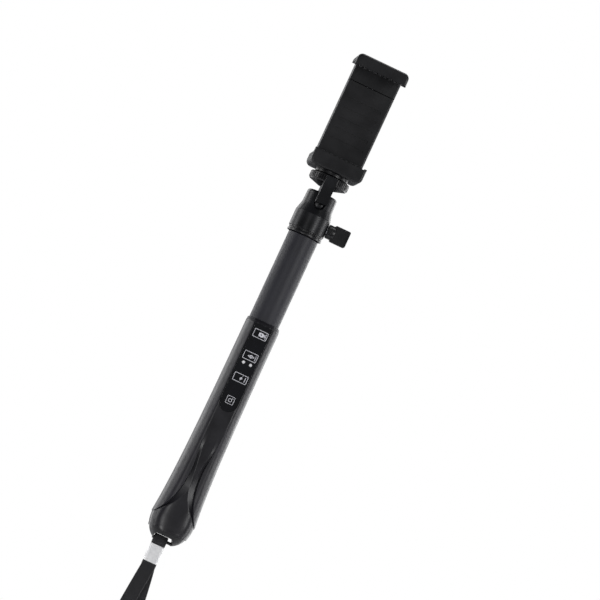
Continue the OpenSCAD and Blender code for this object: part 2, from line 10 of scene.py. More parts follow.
import bpy
from mathutils import Matrix, Vector
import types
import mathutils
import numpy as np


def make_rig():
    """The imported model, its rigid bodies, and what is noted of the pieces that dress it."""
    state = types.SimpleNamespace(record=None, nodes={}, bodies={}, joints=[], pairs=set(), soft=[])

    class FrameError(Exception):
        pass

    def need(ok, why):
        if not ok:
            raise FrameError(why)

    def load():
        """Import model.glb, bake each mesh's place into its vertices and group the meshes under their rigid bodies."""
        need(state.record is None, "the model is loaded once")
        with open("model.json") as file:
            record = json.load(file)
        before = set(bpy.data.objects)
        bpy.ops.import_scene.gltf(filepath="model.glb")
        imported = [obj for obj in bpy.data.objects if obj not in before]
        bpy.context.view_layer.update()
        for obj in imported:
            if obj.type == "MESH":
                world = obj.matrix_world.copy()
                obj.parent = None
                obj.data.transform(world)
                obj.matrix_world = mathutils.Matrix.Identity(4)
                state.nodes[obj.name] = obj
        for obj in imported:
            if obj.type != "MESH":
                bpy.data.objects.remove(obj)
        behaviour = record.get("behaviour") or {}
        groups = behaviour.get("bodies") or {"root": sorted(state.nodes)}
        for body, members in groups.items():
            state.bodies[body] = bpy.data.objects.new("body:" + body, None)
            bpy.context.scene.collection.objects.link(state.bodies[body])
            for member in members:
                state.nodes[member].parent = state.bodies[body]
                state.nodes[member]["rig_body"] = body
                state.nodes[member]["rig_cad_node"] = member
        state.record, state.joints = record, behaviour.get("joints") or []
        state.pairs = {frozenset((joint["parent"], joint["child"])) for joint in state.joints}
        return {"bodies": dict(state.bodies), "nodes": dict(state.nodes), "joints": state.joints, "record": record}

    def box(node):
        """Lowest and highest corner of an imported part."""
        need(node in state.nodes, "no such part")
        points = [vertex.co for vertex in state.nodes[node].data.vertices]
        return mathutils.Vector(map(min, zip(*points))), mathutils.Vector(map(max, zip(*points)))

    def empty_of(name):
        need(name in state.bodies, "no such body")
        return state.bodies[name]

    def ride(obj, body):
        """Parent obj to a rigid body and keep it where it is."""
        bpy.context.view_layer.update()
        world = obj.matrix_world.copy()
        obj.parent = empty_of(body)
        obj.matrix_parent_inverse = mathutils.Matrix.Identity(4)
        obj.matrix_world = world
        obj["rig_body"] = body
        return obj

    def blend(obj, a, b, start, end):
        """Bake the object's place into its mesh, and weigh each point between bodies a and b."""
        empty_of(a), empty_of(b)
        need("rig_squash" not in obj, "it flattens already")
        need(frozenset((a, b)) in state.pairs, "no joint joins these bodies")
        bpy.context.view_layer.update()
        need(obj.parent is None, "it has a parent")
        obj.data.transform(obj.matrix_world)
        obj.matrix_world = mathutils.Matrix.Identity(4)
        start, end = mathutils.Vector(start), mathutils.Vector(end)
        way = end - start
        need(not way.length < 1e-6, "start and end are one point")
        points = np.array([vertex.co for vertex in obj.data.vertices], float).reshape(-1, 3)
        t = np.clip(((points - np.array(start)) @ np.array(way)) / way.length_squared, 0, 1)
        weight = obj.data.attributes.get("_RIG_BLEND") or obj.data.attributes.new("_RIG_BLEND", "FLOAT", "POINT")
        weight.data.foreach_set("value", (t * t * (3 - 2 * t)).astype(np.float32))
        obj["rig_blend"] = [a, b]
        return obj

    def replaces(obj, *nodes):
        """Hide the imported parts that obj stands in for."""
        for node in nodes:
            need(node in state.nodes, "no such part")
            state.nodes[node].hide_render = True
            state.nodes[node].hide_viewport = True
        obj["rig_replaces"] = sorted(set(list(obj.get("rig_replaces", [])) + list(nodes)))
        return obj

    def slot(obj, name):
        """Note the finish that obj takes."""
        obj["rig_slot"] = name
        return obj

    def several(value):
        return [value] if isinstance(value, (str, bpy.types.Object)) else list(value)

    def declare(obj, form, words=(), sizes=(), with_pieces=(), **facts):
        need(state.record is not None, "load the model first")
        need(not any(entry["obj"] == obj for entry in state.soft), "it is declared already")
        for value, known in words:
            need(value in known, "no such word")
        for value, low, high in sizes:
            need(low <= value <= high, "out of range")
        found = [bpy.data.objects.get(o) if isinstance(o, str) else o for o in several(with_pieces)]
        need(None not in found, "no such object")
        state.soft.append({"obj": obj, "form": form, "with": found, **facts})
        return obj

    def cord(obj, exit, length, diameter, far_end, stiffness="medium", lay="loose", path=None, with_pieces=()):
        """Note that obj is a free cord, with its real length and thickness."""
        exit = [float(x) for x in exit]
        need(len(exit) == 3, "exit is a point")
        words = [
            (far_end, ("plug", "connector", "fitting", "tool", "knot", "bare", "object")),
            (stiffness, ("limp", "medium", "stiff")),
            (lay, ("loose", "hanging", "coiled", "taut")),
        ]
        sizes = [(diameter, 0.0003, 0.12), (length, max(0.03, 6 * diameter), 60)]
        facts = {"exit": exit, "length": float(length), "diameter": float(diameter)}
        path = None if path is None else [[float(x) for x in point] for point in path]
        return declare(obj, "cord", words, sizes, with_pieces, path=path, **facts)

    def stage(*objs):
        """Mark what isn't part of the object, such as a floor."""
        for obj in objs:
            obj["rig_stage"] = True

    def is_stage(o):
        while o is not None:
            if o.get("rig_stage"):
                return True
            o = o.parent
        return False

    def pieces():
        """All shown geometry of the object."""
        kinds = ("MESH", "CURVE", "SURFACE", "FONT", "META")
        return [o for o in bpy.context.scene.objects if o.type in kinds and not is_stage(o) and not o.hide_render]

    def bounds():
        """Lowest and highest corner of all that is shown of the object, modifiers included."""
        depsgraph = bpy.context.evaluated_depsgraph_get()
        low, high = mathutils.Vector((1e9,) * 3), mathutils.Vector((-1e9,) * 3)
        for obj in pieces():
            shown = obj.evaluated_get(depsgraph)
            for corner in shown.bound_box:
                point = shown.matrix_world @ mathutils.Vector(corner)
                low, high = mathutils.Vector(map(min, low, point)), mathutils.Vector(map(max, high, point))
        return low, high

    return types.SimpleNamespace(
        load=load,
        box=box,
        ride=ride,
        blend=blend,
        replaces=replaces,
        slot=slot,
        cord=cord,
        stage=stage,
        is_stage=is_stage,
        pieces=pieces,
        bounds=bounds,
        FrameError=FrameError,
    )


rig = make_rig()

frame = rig.load()
cad_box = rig.bounds()

MM = 0.001
FLOOR_GAP = 6.0

# Levels and sizes that the frame settles, in millimetres above the handle's lower end
TUBE_FOOT = 46.0
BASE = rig.box("outer_tube")[0][2] - TUBE_FOOT * MM


def span_of(node):
    """A CAD node's lowest and highest corners, in millimetres."""
    low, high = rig.box(node)
    return [[p[0] / MM, p[1] / MM, (p[2] - BASE) / MM] for p in (low, high)]


def at(x, y, height):
    """A point in the frame, in metres."""
    return Vector((x * MM, y * MM, BASE + height * MM))


# === Camera ===

CAMERA_DISTANCE = 2.0
CAMERA_AZIMUTH = math.radians(-5.0)
CAMERA_ELEVATION = math.radians(-4.2)
CAMERA_ROLL = math.radians(24.8)
FIELD_WIDTH = 0.3593
SENSOR_WIDTH = 36.0


def make_camera():
    """A long lens a little below and left of the stick, rolled so that the stick leans right."""
    target = at(14.1, 0.0, 166.6)
    out = Vector((
        math.sin(CAMERA_AZIMUTH) * math.cos(CAMERA_ELEVATION),
        -math.cos(CAMERA_AZIMUTH) * math.cos(CAMERA_ELEVATION),
        math.sin(CAMERA_ELEVATION),
    ))
    right = Vector((0, 0, 1)).cross(out).normalized()
    up = out.cross(right)
    leaned_right = right * math.cos(CAMERA_ROLL) + up * math.sin(CAMERA_ROLL)
    leaned_up = up * math.cos(CAMERA_ROLL) - right * math.sin(CAMERA_ROLL)
    data = bpy.data.cameras.new("camera")
    data.sensor_width = SENSOR_WIDTH
    data.lens = SENSOR_WIDTH * CAMERA_DISTANCE / FIELD_WIDTH
    data.clip_start = 0.05
    camera = bpy.data.objects.new("camera", data)
    bpy.context.scene.collection.objects.link(camera)
    turn = Matrix((leaned_right, leaned_up, out)).transposed()
    camera.matrix_world = Matrix.Translation(target + out * CAMERA_DISTANCE) @ turn.to_4x4()
    bpy.context.scene.camera = camera


make_camera()

# === Modelling helpers ===


def only(obj):
    """Selects one object alone and makes it active."""
    bpy.ops.object.select_all(action="DESELECT")
    obj.select_set(True)
    bpy.context.view_layer.objects.active = obj
    return obj


def edit(obj):
    """Opens an object for editing with its whole mesh selected."""
    only(obj)
    bpy.ops.object.mode_set(mode="EDIT")
    bpy.ops.mesh.select_mode(type="VERT")
    bpy.ops.mesh.select_all(action="SELECT")


def close_edit():
    bpy.ops.object.mode_set(mode="OBJECT")


def named(obj, name):
    obj.name = name
    obj.data.name = name
    return obj


def settled(obj, name):
    """Names the piece and leaves its place in its mesh."""
    only(obj)
    bpy.ops.object.transform_apply(location=True, rotation=True, scale=True)
    return named(obj, name)


def cleaned(obj):
    """Merges doubled points and points every face outwards."""
    edit(obj)
    bpy.ops.mesh.remove_doubles(threshold=0.004 * MM)
    bpy.ops.mesh.normals_make_consistent(inside=False)
    close_edit()
    return obj


def apply_modifier(obj, kind, **settings):
    modifier = obj.modifiers.new(kind.lower(), kind)
    for key, value in settings.items():
        setattr(modifier, key, value)
    only(obj)
    bpy.ops.object.modifier_apply(modifier=modifier.name)
    return obj


def smooth(obj, angle=32):
    only(obj)
    bpy.ops.object.shade_smooth_by_angle(angle=math.radians(angle))
    return obj


def softened(obj, width, segments=3, angle=32):
    """Rounds every edge sharper than the angle, then shades the piece smooth."""
    apply_modifier(obj, "BEVEL", width=width * MM, segments=segments, limit_method="ANGLE",
                   angle_limit=math.radians(angle), harden_normals=False)
    return smooth(obj, angle)


def carved(obj, *cutters, how="DIFFERENCE"):
    """Cuts or joins other solids with a piece, and uses them up."""
    for cutter in cutters:
        apply_modifier(obj, "BOOLEAN", operation=how, solver="EXACT", object=cutter)
        bpy.data.objects.remove(cutter)
    return obj


def joined(obj, *others):
    """Puts loose solids into one piece."""
    only(obj)
    for other in others:
        other.select_set(True)
    bpy.ops.object.join()
    return obj


def block(name, low, high):
    """A box between two corners."""
    centre = at(*[(a + b) / 2 for a, b in zip(low, high)])
    size = [(b - a) * MM for a, b in zip(low, high)]
    bpy.ops.object.select_all(action="DESELECT")
    bpy.ops.mesh.primitive_cube_add(size=1, location=centre, scale=size)
    return settled(bpy.context.object, name)


def from_points(name, points, edges, faces):
    """A new object from bare points, edges and faces."""
    mesh = bpy.data.meshes.new(name)
    mesh.from_pydata(points, edges, faces)
    obj = bpy.data.objects.new(name, mesh)
    bpy.context.scene.collection.objects.link(obj)
    return obj


TURNS = {"X": (0, math.pi / 2, 0), "Y": (math.pi / 2, 0, 0), "Z": (0, 0, 0)}


def rod(name, radius, middle, length, axis="Z", sides=64):
    """A round bar about a middle point."""
    bpy.ops.object.select_all(action="DESELECT")
    bpy.ops.mesh.primitive_cylinder_add(vertices=sides, radius=radius * MM, depth=length * MM,
                                        location=at(*middle), rotation=TURNS[axis])
    return settled(bpy.context.object, name)


def round_edges(obj, chosen, radius, segments=6):
    """Bevels the edges that chosen(one end, other end) picks; both ends are in millimetres."""
    edit(obj)
    bpy.ops.mesh.select_mode(type="EDGE")
    bpy.ops.mesh.select_all(action="DESELECT")
    close_edit()
    points = [(v.co.x / MM, v.co.y / MM, (v.co.z - BASE) / MM) for v in obj.data.vertices]
    for edge in obj.data.edges:
        edge.select = chosen(*[points[i] for i in edge.vertices])
    bpy.ops.object.mode_set(mode="EDIT")
    bpy.ops.mesh.bevel(offset=radius * MM, segments=segments, affect="EDGES")
    close_edit()
    return obj


def turned(name, outline, steps=128, axis="Z", centre=(0, 0, 0)):
    """A solid of revolution of (radius, distance along the axis) points."""
    middle = at(*centre)
    if axis == "Z":
        places = [(r * MM, 0, BASE + d * MM) for r, d in outline]
        direction = (0, 0, 1)
    else:
        places = [(d * MM, 0, middle.z + r * MM) for r, d in outline]
        direction = (1, 0, 0)
    obj = from_points(name, places, [(i, i + 1) for i in range(len(places) - 1)], [])
    edit(obj)
    bpy.ops.mesh.spin(steps=steps, angle=2 * math.pi, center=middle, axis=direction)
    close_edit()
    return cleaned(obj)


def arc(centre_r, centre_d, radius, start, end, count):
    """Points of an arc in a turned outline; 0 degrees points outwards and 90 along the axis."""
    angles = [math.radians(start + (end - start) * i / count) for i in range(count + 1)]
    return [(centre_r + radius * math.cos(a), centre_d + radius * math.sin(a)) for a in angles]


def plate(name, outline, front_y, back_y):
    """A flat sheet cut to an outline of (x, height) points, between two distances along Y."""
    obj = from_points(name, [at(x, front_y, h) for x, h in outline], [], [list(range(len(outline)))])
    edit(obj)
    bpy.ops.mesh.extrude_region_move(
        TRANSFORM_OT_translate={"value": (0, (back_y - front_y) * MM, 0)})
    close_edit()
    return cleaned(obj)


def round_outline(middle, width, height, radius, count=6):
    """Points of a rounded rectangle round a middle (x, height), anticlockwise from the right."""
    points = []
    for i, (sx, sz) in enumerate([(1, 1), (-1, 1), (-1, -1), (1, -1)]):
        cx = middle[0] + sx * (width / 2 - radius)
        cz = middle[1] + sz * (height / 2 - radius)
        for k in range(count + 1):
            angle = math.radians(90 * i + 90 * k / count)
            points.append((cx + radius * math.cos(angle), cz + radius * math.sin(angle)))
    return points


def grid(name, columns, rows, place):
    """A grid of columns x rows points, each put where place(column, row) says."""
    bpy.ops.object.select_all(action="DESELECT")
    bpy.ops.mesh.primitive_grid_add(x_subdivisions=columns - 1, y_subdivisions=rows - 1, size=2)
    obj = bpy.context.object
    for vertex in obj.data.vertices:
        column = round((vertex.co.x + 1) / 2 * (columns - 1))
        row = round((vertex.co.y + 1) / 2 * (rows - 1))
        vertex.co = place(column, row)
    return named(obj, name)


def ribbon(name, path):
    """Webbing of a flat rounded section along a path, its width along X, mapped in centimetres."""
    section = []
    half_w, half_t = STRAP_WIDTH / 2, STRAP_THICKNESS / 2
    for i in range(4):
        for k in range(3):
            angle = math.radians(90 * i + 45 * k)
            sx = 1 if i in (0, 3) else -1
            sz = 1 if i in (0, 1) else -1
            section.append((sx * (half_w - half_t) + half_t * math.cos(angle),
                            half_t * math.sin(angle)))
    count = len(section)
    verts, faces, run, travelled = [], [], [], 0.0
    for i, point in enumerate(path):
        ahead = (path[min(len(path) - 1, i + 1)] - path[max(0, i - 1)]).normalized()
        thin = ahead.cross(Vector((1, 0, 0))).normalized()
        flat = thin.cross(ahead).normalized()
        if i:
            travelled += (point - path[i - 1]).length
        run.append(travelled)
        verts += [point + flat * u * MM + thin * v * MM for u, v in section]
    for i in range(len(path) - 1):
        for k in range(count):
            n = (k + 1) % count
            faces.append((i * count + k, i * count + n, (i + 1) * count + n, (i + 1) * count + k))
    faces.append(tuple(range(count - 1, -1, -1)))
    faces.append(tuple((len(path) - 1) * count + k for k in range(count)))
    obj = from_points(name, verts, [], faces)
    mesh = obj.data
    layer = mesh.uv_layers.new(name="weave")
    for polygon in mesh.polygons:
        for loop in polygon.loop_indices:
            index = mesh.loops[loop].vertex_index
            layer.data[loop].uv = (section[index % count][0] / 10, run[index // count] / 0.01)
    return smooth(cleaned(obj), 60)


# === Materials ===


def colour(code):
    """An sRGB hex code as linear RGBA."""
    parts = [int(code[i:i + 2], 16) / 255 for i in (1, 3, 5)]
    linear = [c / 12.92 if c <= 0.04045 else ((c + 0.055) / 1.055) ** 2.4 for c in parts]
    return (*linear, 1.0)


def add(material, kind, inputs=(), **settings):
    """Adds a node; inputs holds (socket, value or another node's output)."""
    new = material.node_tree.nodes.new(kind)
    for key, value in settings.items():
        setattr(new, key, value)
    for socket, value in inputs:
        if isinstance(value, bpy.types.NodeSocket):
            material.node_tree.links.new(value, new.inputs[socket])
        else:
            new.inputs[socket].default_value = value
    return new


def surface(name, roughness, plain=()):
    """A material with its shader's plain values; returns it, its shader and its coordinates."""
    material = bpy.data.materials.new(name)
    material.use_nodes = True
    shader = material.node_tree.nodes["Principled BSDF"]
    for socket, value in (("Roughness", roughness), *plain):
        shader.inputs[socket].default_value = value
    where = add(material, "ShaderNodeTexCoord")
    return material, shader, where


def mottled(material, shader, pattern, dark, light, low=0.4, high=0.6):
    """Colours the surface between two shades by a pattern."""
    ramp = add(material, "ShaderNodeValToRGB", [("Fac", pattern)])
    ramp.color_ramp.elements[0].position = low
    ramp.color_ramp.elements[1].position = high
    ramp.color_ramp.elements[0].color = colour(dark)
    ramp.color_ramp.elements[1].color = colour(light)
    material.node_tree.links.new(ramp.outputs["Color"], shader.inputs["Base Color"])


def varied_roughness(material, shader, pattern, low, high):
    spread = add(material, "ShaderNodeMapRange",
                 [("Value", pattern), ("From Min", 0.3), ("From Max", 0.7),
                  ("To Min", low), ("To Max", high)])
    material.node_tree.links.new(spread.outputs["Result"], shader.inputs["Roughness"])


def embossed(material, shader, height, depth, strength=1.0):
    """Bump of a depth in millimetres from a height pattern."""
    bump = add(material, "ShaderNodeBump",
               [("Height", height), ("Distance", depth * MM), ("Strength", strength)])
    material.node_tree.links.new(bump.outputs["Normal"], shader.inputs["Normal"])


def speckle(material, where, size, detail=3.0):
    """Noise with grains of a size in millimetres."""
    scale = 1 / (size * MM)
    return add(material, "ShaderNodeTexNoise",
               [("Vector", where.outputs["Object"]), ("Scale", scale), ("Detail", detail)])


def clouded(material, shader, where, size, dark, light):
    """Soft patches of a size in two shades; returns their pattern."""
    patches = speckle(material, where, size).outputs["Fac"]
    mottled(material, shader, patches, dark, light)
    return patches


def moulded(name, dark, light, roughness, grain, depth, plain=()):
    """Injection-moulded plastic: a spark-eroded grain, and soft patches from handling."""
    material, shader, where = surface(name, roughness, plain)
    patches = clouded(material, shader, where, 14, dark, light)
    varied_roughness(material, shader, patches, roughness - 0.04, roughness + 0.06)
    fine = speckle(material, where, grain, 2.0)
    embossed(material, shader, fine.outputs["Fac"], depth)
    return material


def shell_plastic():
    """Black ABS shells, moulded satin: soft broad highlights."""
    return moulded("shell_abs", "#121116", "#17161c", 0.34, 0.35, 0.004)


def grip_rubber():
    """Soft-touch TPE side grips: a fine matte coat that pales where it turns away."""
    return moulded("grip_soft_touch", "#17161c", "#1e1c24", 0.44, 0.30, 0.008,
                   [("Sheen Weight", 0.06), ("Sheen Roughness", 0.4)])


def cap_plastic():
    """Black ABS end cap and small mouldings, satin."""
    return moulded("cap_abs", "#0f0f12", "#141417", 0.34, 0.35, 0.006)


def clamp_plastic():
    """Glass-filled nylon jaws: even satin black with a faint grain."""
    return moulded("clamp_nylon", "#0e0e11", "#141417", 0.36, 0.4, 0.010)


def knob_plastic():
    """Moulded nylon knob and disc, a little shinier where fingers turn them."""
    return moulded("knob_nylon", "#0f0f11", "#161619", 0.33, 0.4, 0.008)


def nylon():
    """Natural black nylon rings, waxy."""
    return moulded("ring_nylon", "#26262a", "#303036", 0.48, 0.3, 0.008)


def pad_rubber():
    """Vulcanised rubber pads, dull, with a fine line pattern that grips the phone."""
    material, shader, where = surface("pad_rubber", 0.72)
    clouded(material, shader, where, 6, "#131316", "#1b1b1f")
    scale = 1 / (1.3 * MM) / 2.0
    lines = add(material, "ShaderNodeTexWave",
                [("Vector", where.outputs["Object"]), ("Scale", scale), ("Distortion", 0.0)],
                bands_direction="X")
    embossed(material, shader, lines.outputs["Fac"], 0.12)
    return material


def panel_gloss():
    """Back-printed acrylic panel and keys: deep black under a mirror-smooth face."""
    material, shader, where = surface(
        "panel_acrylic", 0.06, [("Coat Weight", 1.0), ("Coat Roughness", 0.03)])
    patches = clouded(material, shader, where, 9, "#060609", "#0b0b10")
    varied_roughness(material, shader, patches, 0.05, 0.09)
    return material


def print_white():
    """White silk-screen ink of the icons, slightly uneven."""
    material, shader, where = surface("icon_ink", 0.5)
    clouded(material, shader, where, 0.8, "#dcdce4", "#f6f6fb")
    return material


def light_white():
    """Milky light pipes of the two indicators."""
    material, shader, where = surface(
        "light_pipe", 0.25, [("Coat Weight", 0.5), ("Coat Roughness", 0.1)])
    clouded(material, shader, where, 1.2, "#f2f2f6", "#ffffff")
    return material


def slate_coat():
    """Slate powder coat: matte, with an orange peel about half a millimetre across."""
    material, shader, where = surface("slate_powder_coat", 0.5)
    patches = clouded(material, shader, where, 18, "#1f1f27", "#25252d")
    varied_roughness(material, shader, patches, 0.46, 0.56)
    peel = speckle(material, where, 0.5, 2.0)
    embossed(material, shader, peel.outputs["Fac"], 0.02)
    return material


def black_anodised():
    """Black anodised aluminium of the ball head: dark, with tight streaked highlights."""
    material, shader, where = surface("black_anodised_aluminium", 0.34, [("Metallic", 0.3)])
    patches = clouded(material, shader, where, 10, "#0d0e11", "#15161a")
    varied_roughness(material, shader, patches, 0.31, 0.38)
    fine = speckle(material, where, 0.25, 2.0)
    embossed(material, shader, fine.outputs["Fac"], 0.003)
    return material


def polished_tube():
    """Polished stainless inner tubes, drawn, so faint lines run along them."""
    material, shader, where = surface("polished_stainless", 0.14, [("Metallic", 1.0)])
    stretch = add(material, "ShaderNodeMapping",
                  [("Vector", where.outputs["Object"]), ("Scale", (1.0, 1.0, 0.02))])
    lines = add(material, "ShaderNodeTexNoise",
                [("Vector", stretch.outputs["Vector"]), ("Scale", 1 / (0.25 * MM)),
                 ("Detail", 2.0)])
    mottled(material, shader, lines.outputs["Fac"], "#b9bbc0", "#d4d6da")
    varied_roughness(material, shader, lines.outputs["Fac"], 0.10, 0.20)
    return material


def plated(name, dark, light, roughness, metallic=1.0):
    """Plated steel: bright, with small clouds in the plating."""
    material, shader, where = surface(name, roughness, [("Metallic", metallic)])
    clouds = clouded(material, shader, where, 2.5, dark, light)
    varied_roughness(material, shader, clouds, roughness - 0.02, roughness + 0.04)
    return material


def webbing():
    """Woven polyester webbing: a plain weave of half-millimetre yarns on the piece's own map."""
    material, shader, where = surface(
        "woven_webbing", 0.75, [("Sheen Weight", 0.25), ("Sheen Roughness", 0.5)])
    yarn = 0.55
    scale = 5 / yarn
    warp, weft = [add(material, "ShaderNodeTexWave",
                      [("Vector", where.outputs["UV"]), ("Scale", scale), ("Distortion", 0.3)],
                      bands_direction=direction) for direction in "XY"]
    weave = add(material, "ShaderNodeMath",
                [(0, warp.outputs["Fac"]), (1, weft.outputs["Fac"])], operation="MULTIPLY")
    mottled(material, shader, weave.outputs["Value"], "#121215", "#2a282e", 0.1, 0.7)
    embossed(material, shader, weave.outputs["Value"], 0.15)
    return material


def printed_board():
    """Green solder mask over copper tracks."""
    material, shader, where = surface("solder_mask", 0.3)
    cells = add(material, "ShaderNodeTexVoronoi",
                [("Vector", where.outputs["Object"]), ("Scale", 1 / (2.0 * MM))],
                feature="DISTANCE_TO_EDGE")
    mottled(material, shader, cells.outputs["Distance"], "#2c7a48", "#164a2b", 0.02, 0.08)
    return material


def film(name, dark, light):
    """Thin glossy film, such as a polyimide lead or a battery's foil, with creases."""
    material, shader, where = surface(name, 0.3, [("Coat Weight", 0.4), ("Coat Roughness", 0.15)])
    creases = clouded(material, shader, where, 4, dark, light)
    embossed(material, shader, creases, 0.15)
    return material


SHELL = shell_plastic()
GRIP = grip_rubber()
CAP = cap_plastic()
CLAMP = clamp_plastic()
KNOB = knob_plastic()
RING = nylon()
PAD = pad_rubber()
PANEL = panel_gloss()
INK = print_white()
LIGHT = light_white()
SLATE = slate_coat()
ANODISED = black_anodised()
TUBE = polished_tube()
STEEL = plated("zinc_plated_steel", "#9c9ea3", "#c2c4c8", 0.28)
# The crimp's near-white colour, with little metallic, is a painted reflection of the white studio in its polished
# plating.
CRIMP = plated("nickel_plated_steel", "#fafafb", "#ffffff", 0.3, 0.12)
BRASS = plated("turned_brass", "#9c7a45", "#c7a265", 0.3)
WEBBING = webbing()
BOARD = printed_board()
FLEX = film("polyimide_film", "#9c5a1e", "#c07a34")
FOIL = film("pouch_foil", "#a9adb4", "#c9ccd2")
SILICONE = moulded("membrane_silicone", "#3e3e42", "#4c4c50", 0.6, 0.3, 0.01)
CHIP = moulded("chip_epoxy", "#1c1c1e", "#26262a", 0.55, 0.2, 0.01)

SLOT_MATERIALS = {
    "black_shell": SHELL, "soft_grip": GRIP, "smooth_black": CAP, "gloss_panel": PANEL,
    "light_white": LIGHT, "silicone": SILICONE, "green_board": BOARD, "chip_black": CHIP,
    "foil": FOIL, "amber_flex": FLEX, "steel": STEEL, "slate_tube": SLATE, "bright_tube": TUBE,
    "bush_nylon": RING, "head_paint": ANODISED, "knob_black": KNOB, "clamp_black": CLAMP,
    "pad_rubber": PAD, "brass": BRASS, "crimp_metal": CRIMP, "webbing": WEBBING,
}
node_slots = {part["node"]: part["material_slot"] for part in frame["record"]["subparts"]}
for node_name, slot_name in node_slots.items():
    cad_object = frame["nodes"][node_name]
    cad_object.data.materials.clear()
    cad_object.data.materials.append(SLOT_MATERIALS[slot_name])


def body_of_node(node):
    for body, nodes in frame["record"]["behaviour"]["bodies"].items():
        if node in nodes:
            return body
    raise KeyError(node)


def fitted(obj, node):
    """Dresses a finished piece, lets it ride with its CAD node's body and stand for that node."""
    apply_modifier(obj, "WEIGHTED_NORMAL", keep_sharp=True)
    if not obj.data.materials:
        obj.data.materials.append(SLOT_MATERIALS[node_slots[node]])
    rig.slot(obj, node_slots[node])
    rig.ride(obj, body_of_node(node))
    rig.replaces(obj, node)
    return obj


# === Wrist strap: the fold round the cap's bar, the crimp and the free loop ===

STRAP_WIDTH = 8.6
STRAP_THICKNESS = 1.0
STRAP_X = -1.9
STRAP_Y = -2.75
BAR_HEIGHT = 1.9
BAR_RADIUS = 0.95
FOLD_RADIUS = 1.1
FOLD_RISE = 1.38
CRIMP_TOP = -1.8
STRAP_ROUTE = [
    (0, 0.8, -12.8), (0, 0.9, -15), (1.1, 1.6, -21), (3.6, 4, -38), (7.2, 12, -68), (9.6, 19, -98),
    (9.8, 22, -126), (7, 16, -148), (2, 5.5, -159), (-2, -7.5, -159), (-6.6, -17, -147),
    (-8.8, -22, -125), (-8.2, -19, -97), (-5.6, -12, -67), (-2.4, -4, -37), (-0.7, -1.6, -21),
    (0, -0.9, -15), (0, -0.8, -12.8),
]


def smooth_route(points, steps):
    """A smooth curve through the points, with a few steps to each stretch."""
    out = []
    last = len(points) - 1
    for i in range(last):
        a, b = points[max(0, i - 1)], points[i]
        c, d = points[i + 1], points[min(last, i + 2)]
        for k in range(steps):
            f = k / steps
            out.append(0.5 * (2 * b + (c - a) * f + (2 * a - 5 * b + 4 * c - d) * f ** 2
                              + (3 * b - a - 3 * c + d) * f ** 3))
    return out + [points[last]]


def wrist_strap():
    route = [at(x + STRAP_X, y + STRAP_Y, h) for x, y, h in STRAP_ROUTE]
    path = smooth_route(route, 10)
    piece = fitted(ribbon("wrist_strap_webbing", path), "wrist_strap")
    length = sum((b - a).length for a, b in zip(path, path[1:]))
    return piece, path, length


def strap_fold():
    """Webbing up the front of the bar, over it and down the back, into the crimp."""
    radius = FOLD_RADIUS + STRAP_THICKNESS / 2
    legs = [(0.62, CRIMP_TOP - 1.0), (0.75, CRIMP_TOP + 0.6), (1.45, BAR_HEIGHT - 1.8)]
    over = [(u, BAR_HEIGHT + FOLD_RISE * v) for u, v in arc(0, 0, radius, 0, 180, 12)]
    outline = legs + over + [(-y, h) for y, h in reversed(legs)]
    points = [at(STRAP_X, STRAP_Y + y, h) for y, h in outline]
    return fitted(ribbon("strap_fold", smooth_route(points, 3)), "strap_anchor")


def strap_crimp():
    """Sheet metal folded flat round both layers, with a fine groove down its back and an open mouth."""
    low, high = span_of("strap_crimp")
    outer = block("strap_crimp_metal", low, high)
    round_edges(outer, lambda a, b: abs(a[2] - b[2]) > 5, 1.2, 5)
    wall = 0.45
    mouth = block("mouth", [low[0] + wall, low[1] + wall, low[2] - 1],
                  [high[0] - wall, high[1] - wall, high[2] + 1])
    carved(outer, mouth)
    softened(outer, 0.15, 2)
    fold = block("fold", [STRAP_X - 0.1, high[1] - 0.2, low[2] - 1],
                 [STRAP_X + 0.1, high[1] + 1, high[2] + 1])
    carved(outer, fold)
    smooth(outer)
    return fitted(outer, "strap_crimp")


strap_piece, strap_path, strap_length = wrist_strap()
fold_piece = strap_fold()
crimp_piece = strap_crimp()
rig.cord(strap_piece, exit=strap_path[0], length=strap_length, diameter=STRAP_WIDTH * MM,
        far_end="object", stiffness="limp", lay="hanging", path=strap_path,
        with_pieces=[crimp_piece, fold_piece])

# === Handle: one sculpted section, cut into shells, grips and cap along its own grid ===

HANDLE_TOP = span_of("front_shell")[1][2]
NECK_HALF_W = 10.5
BULB_HALF_W = 13.9
BULB_Z = 16.5
BULB_BOTTOM_R = 16.8
BULB_POWER = 2.3
HALF_DEPTH = 14.25
FRONT_SHIFT = 2.75
FRONT_FLAT = 15.6
SECTION_POWER = 2.4
TAPER_Z = 142.3
CAP_SEAM = 7.2
APEX_Z = 37.4
NOTCH_Z = 15.5
TIP_DEPTH = 0.7
FLANK_DEPTH = 1.2
RIDGE_FADE_Z = 60.0
PANEL_HALF_W = 5.6
SLOT_LEFT = -7.0
SLOT_RIGHT = 5.2
SLOT_TOP = 4.8
CAP_INSET = 0.65


def ease(value, start, end):
    """0 before start, 1 after end, and smooth between."""
    t = max(0.0, min(1.0, (value - start) / (end - start)))
    return t * t * (3 - 2 * t)


def bulb(z):
    if z >= BULB_Z:
        return 1.0
    return (1 - ((BULB_Z - z) / BULB_BOTTOM_R) ** BULB_POWER) ** (1 / BULB_POWER)


def shoulder(z):
    return max(0.0, min(1.0, (z - TAPER_Z) / (HANDLE_TOP - TAPER_Z)))


def half_width(z):
    if z < BULB_Z:
        return BULB_HALF_W * bulb(z)
    flare = (BULB_HALF_W - NECK_HALF_W) * math.exp(-(z - BULB_Z) / 33)
    return NECK_HALF_W + flare - 0.35 * shoulder(z)


def half_depth(z):
    return HALF_DEPTH * bulb(z) - (HALF_DEPTH - 10.2) * shoulder(z)


def centre_y(z):
    return -FRONT_SHIFT * (1 - shoulder(z))


def power(z):
    return SECTION_POWER - (SECTION_POWER - 2) * shoulder(z)


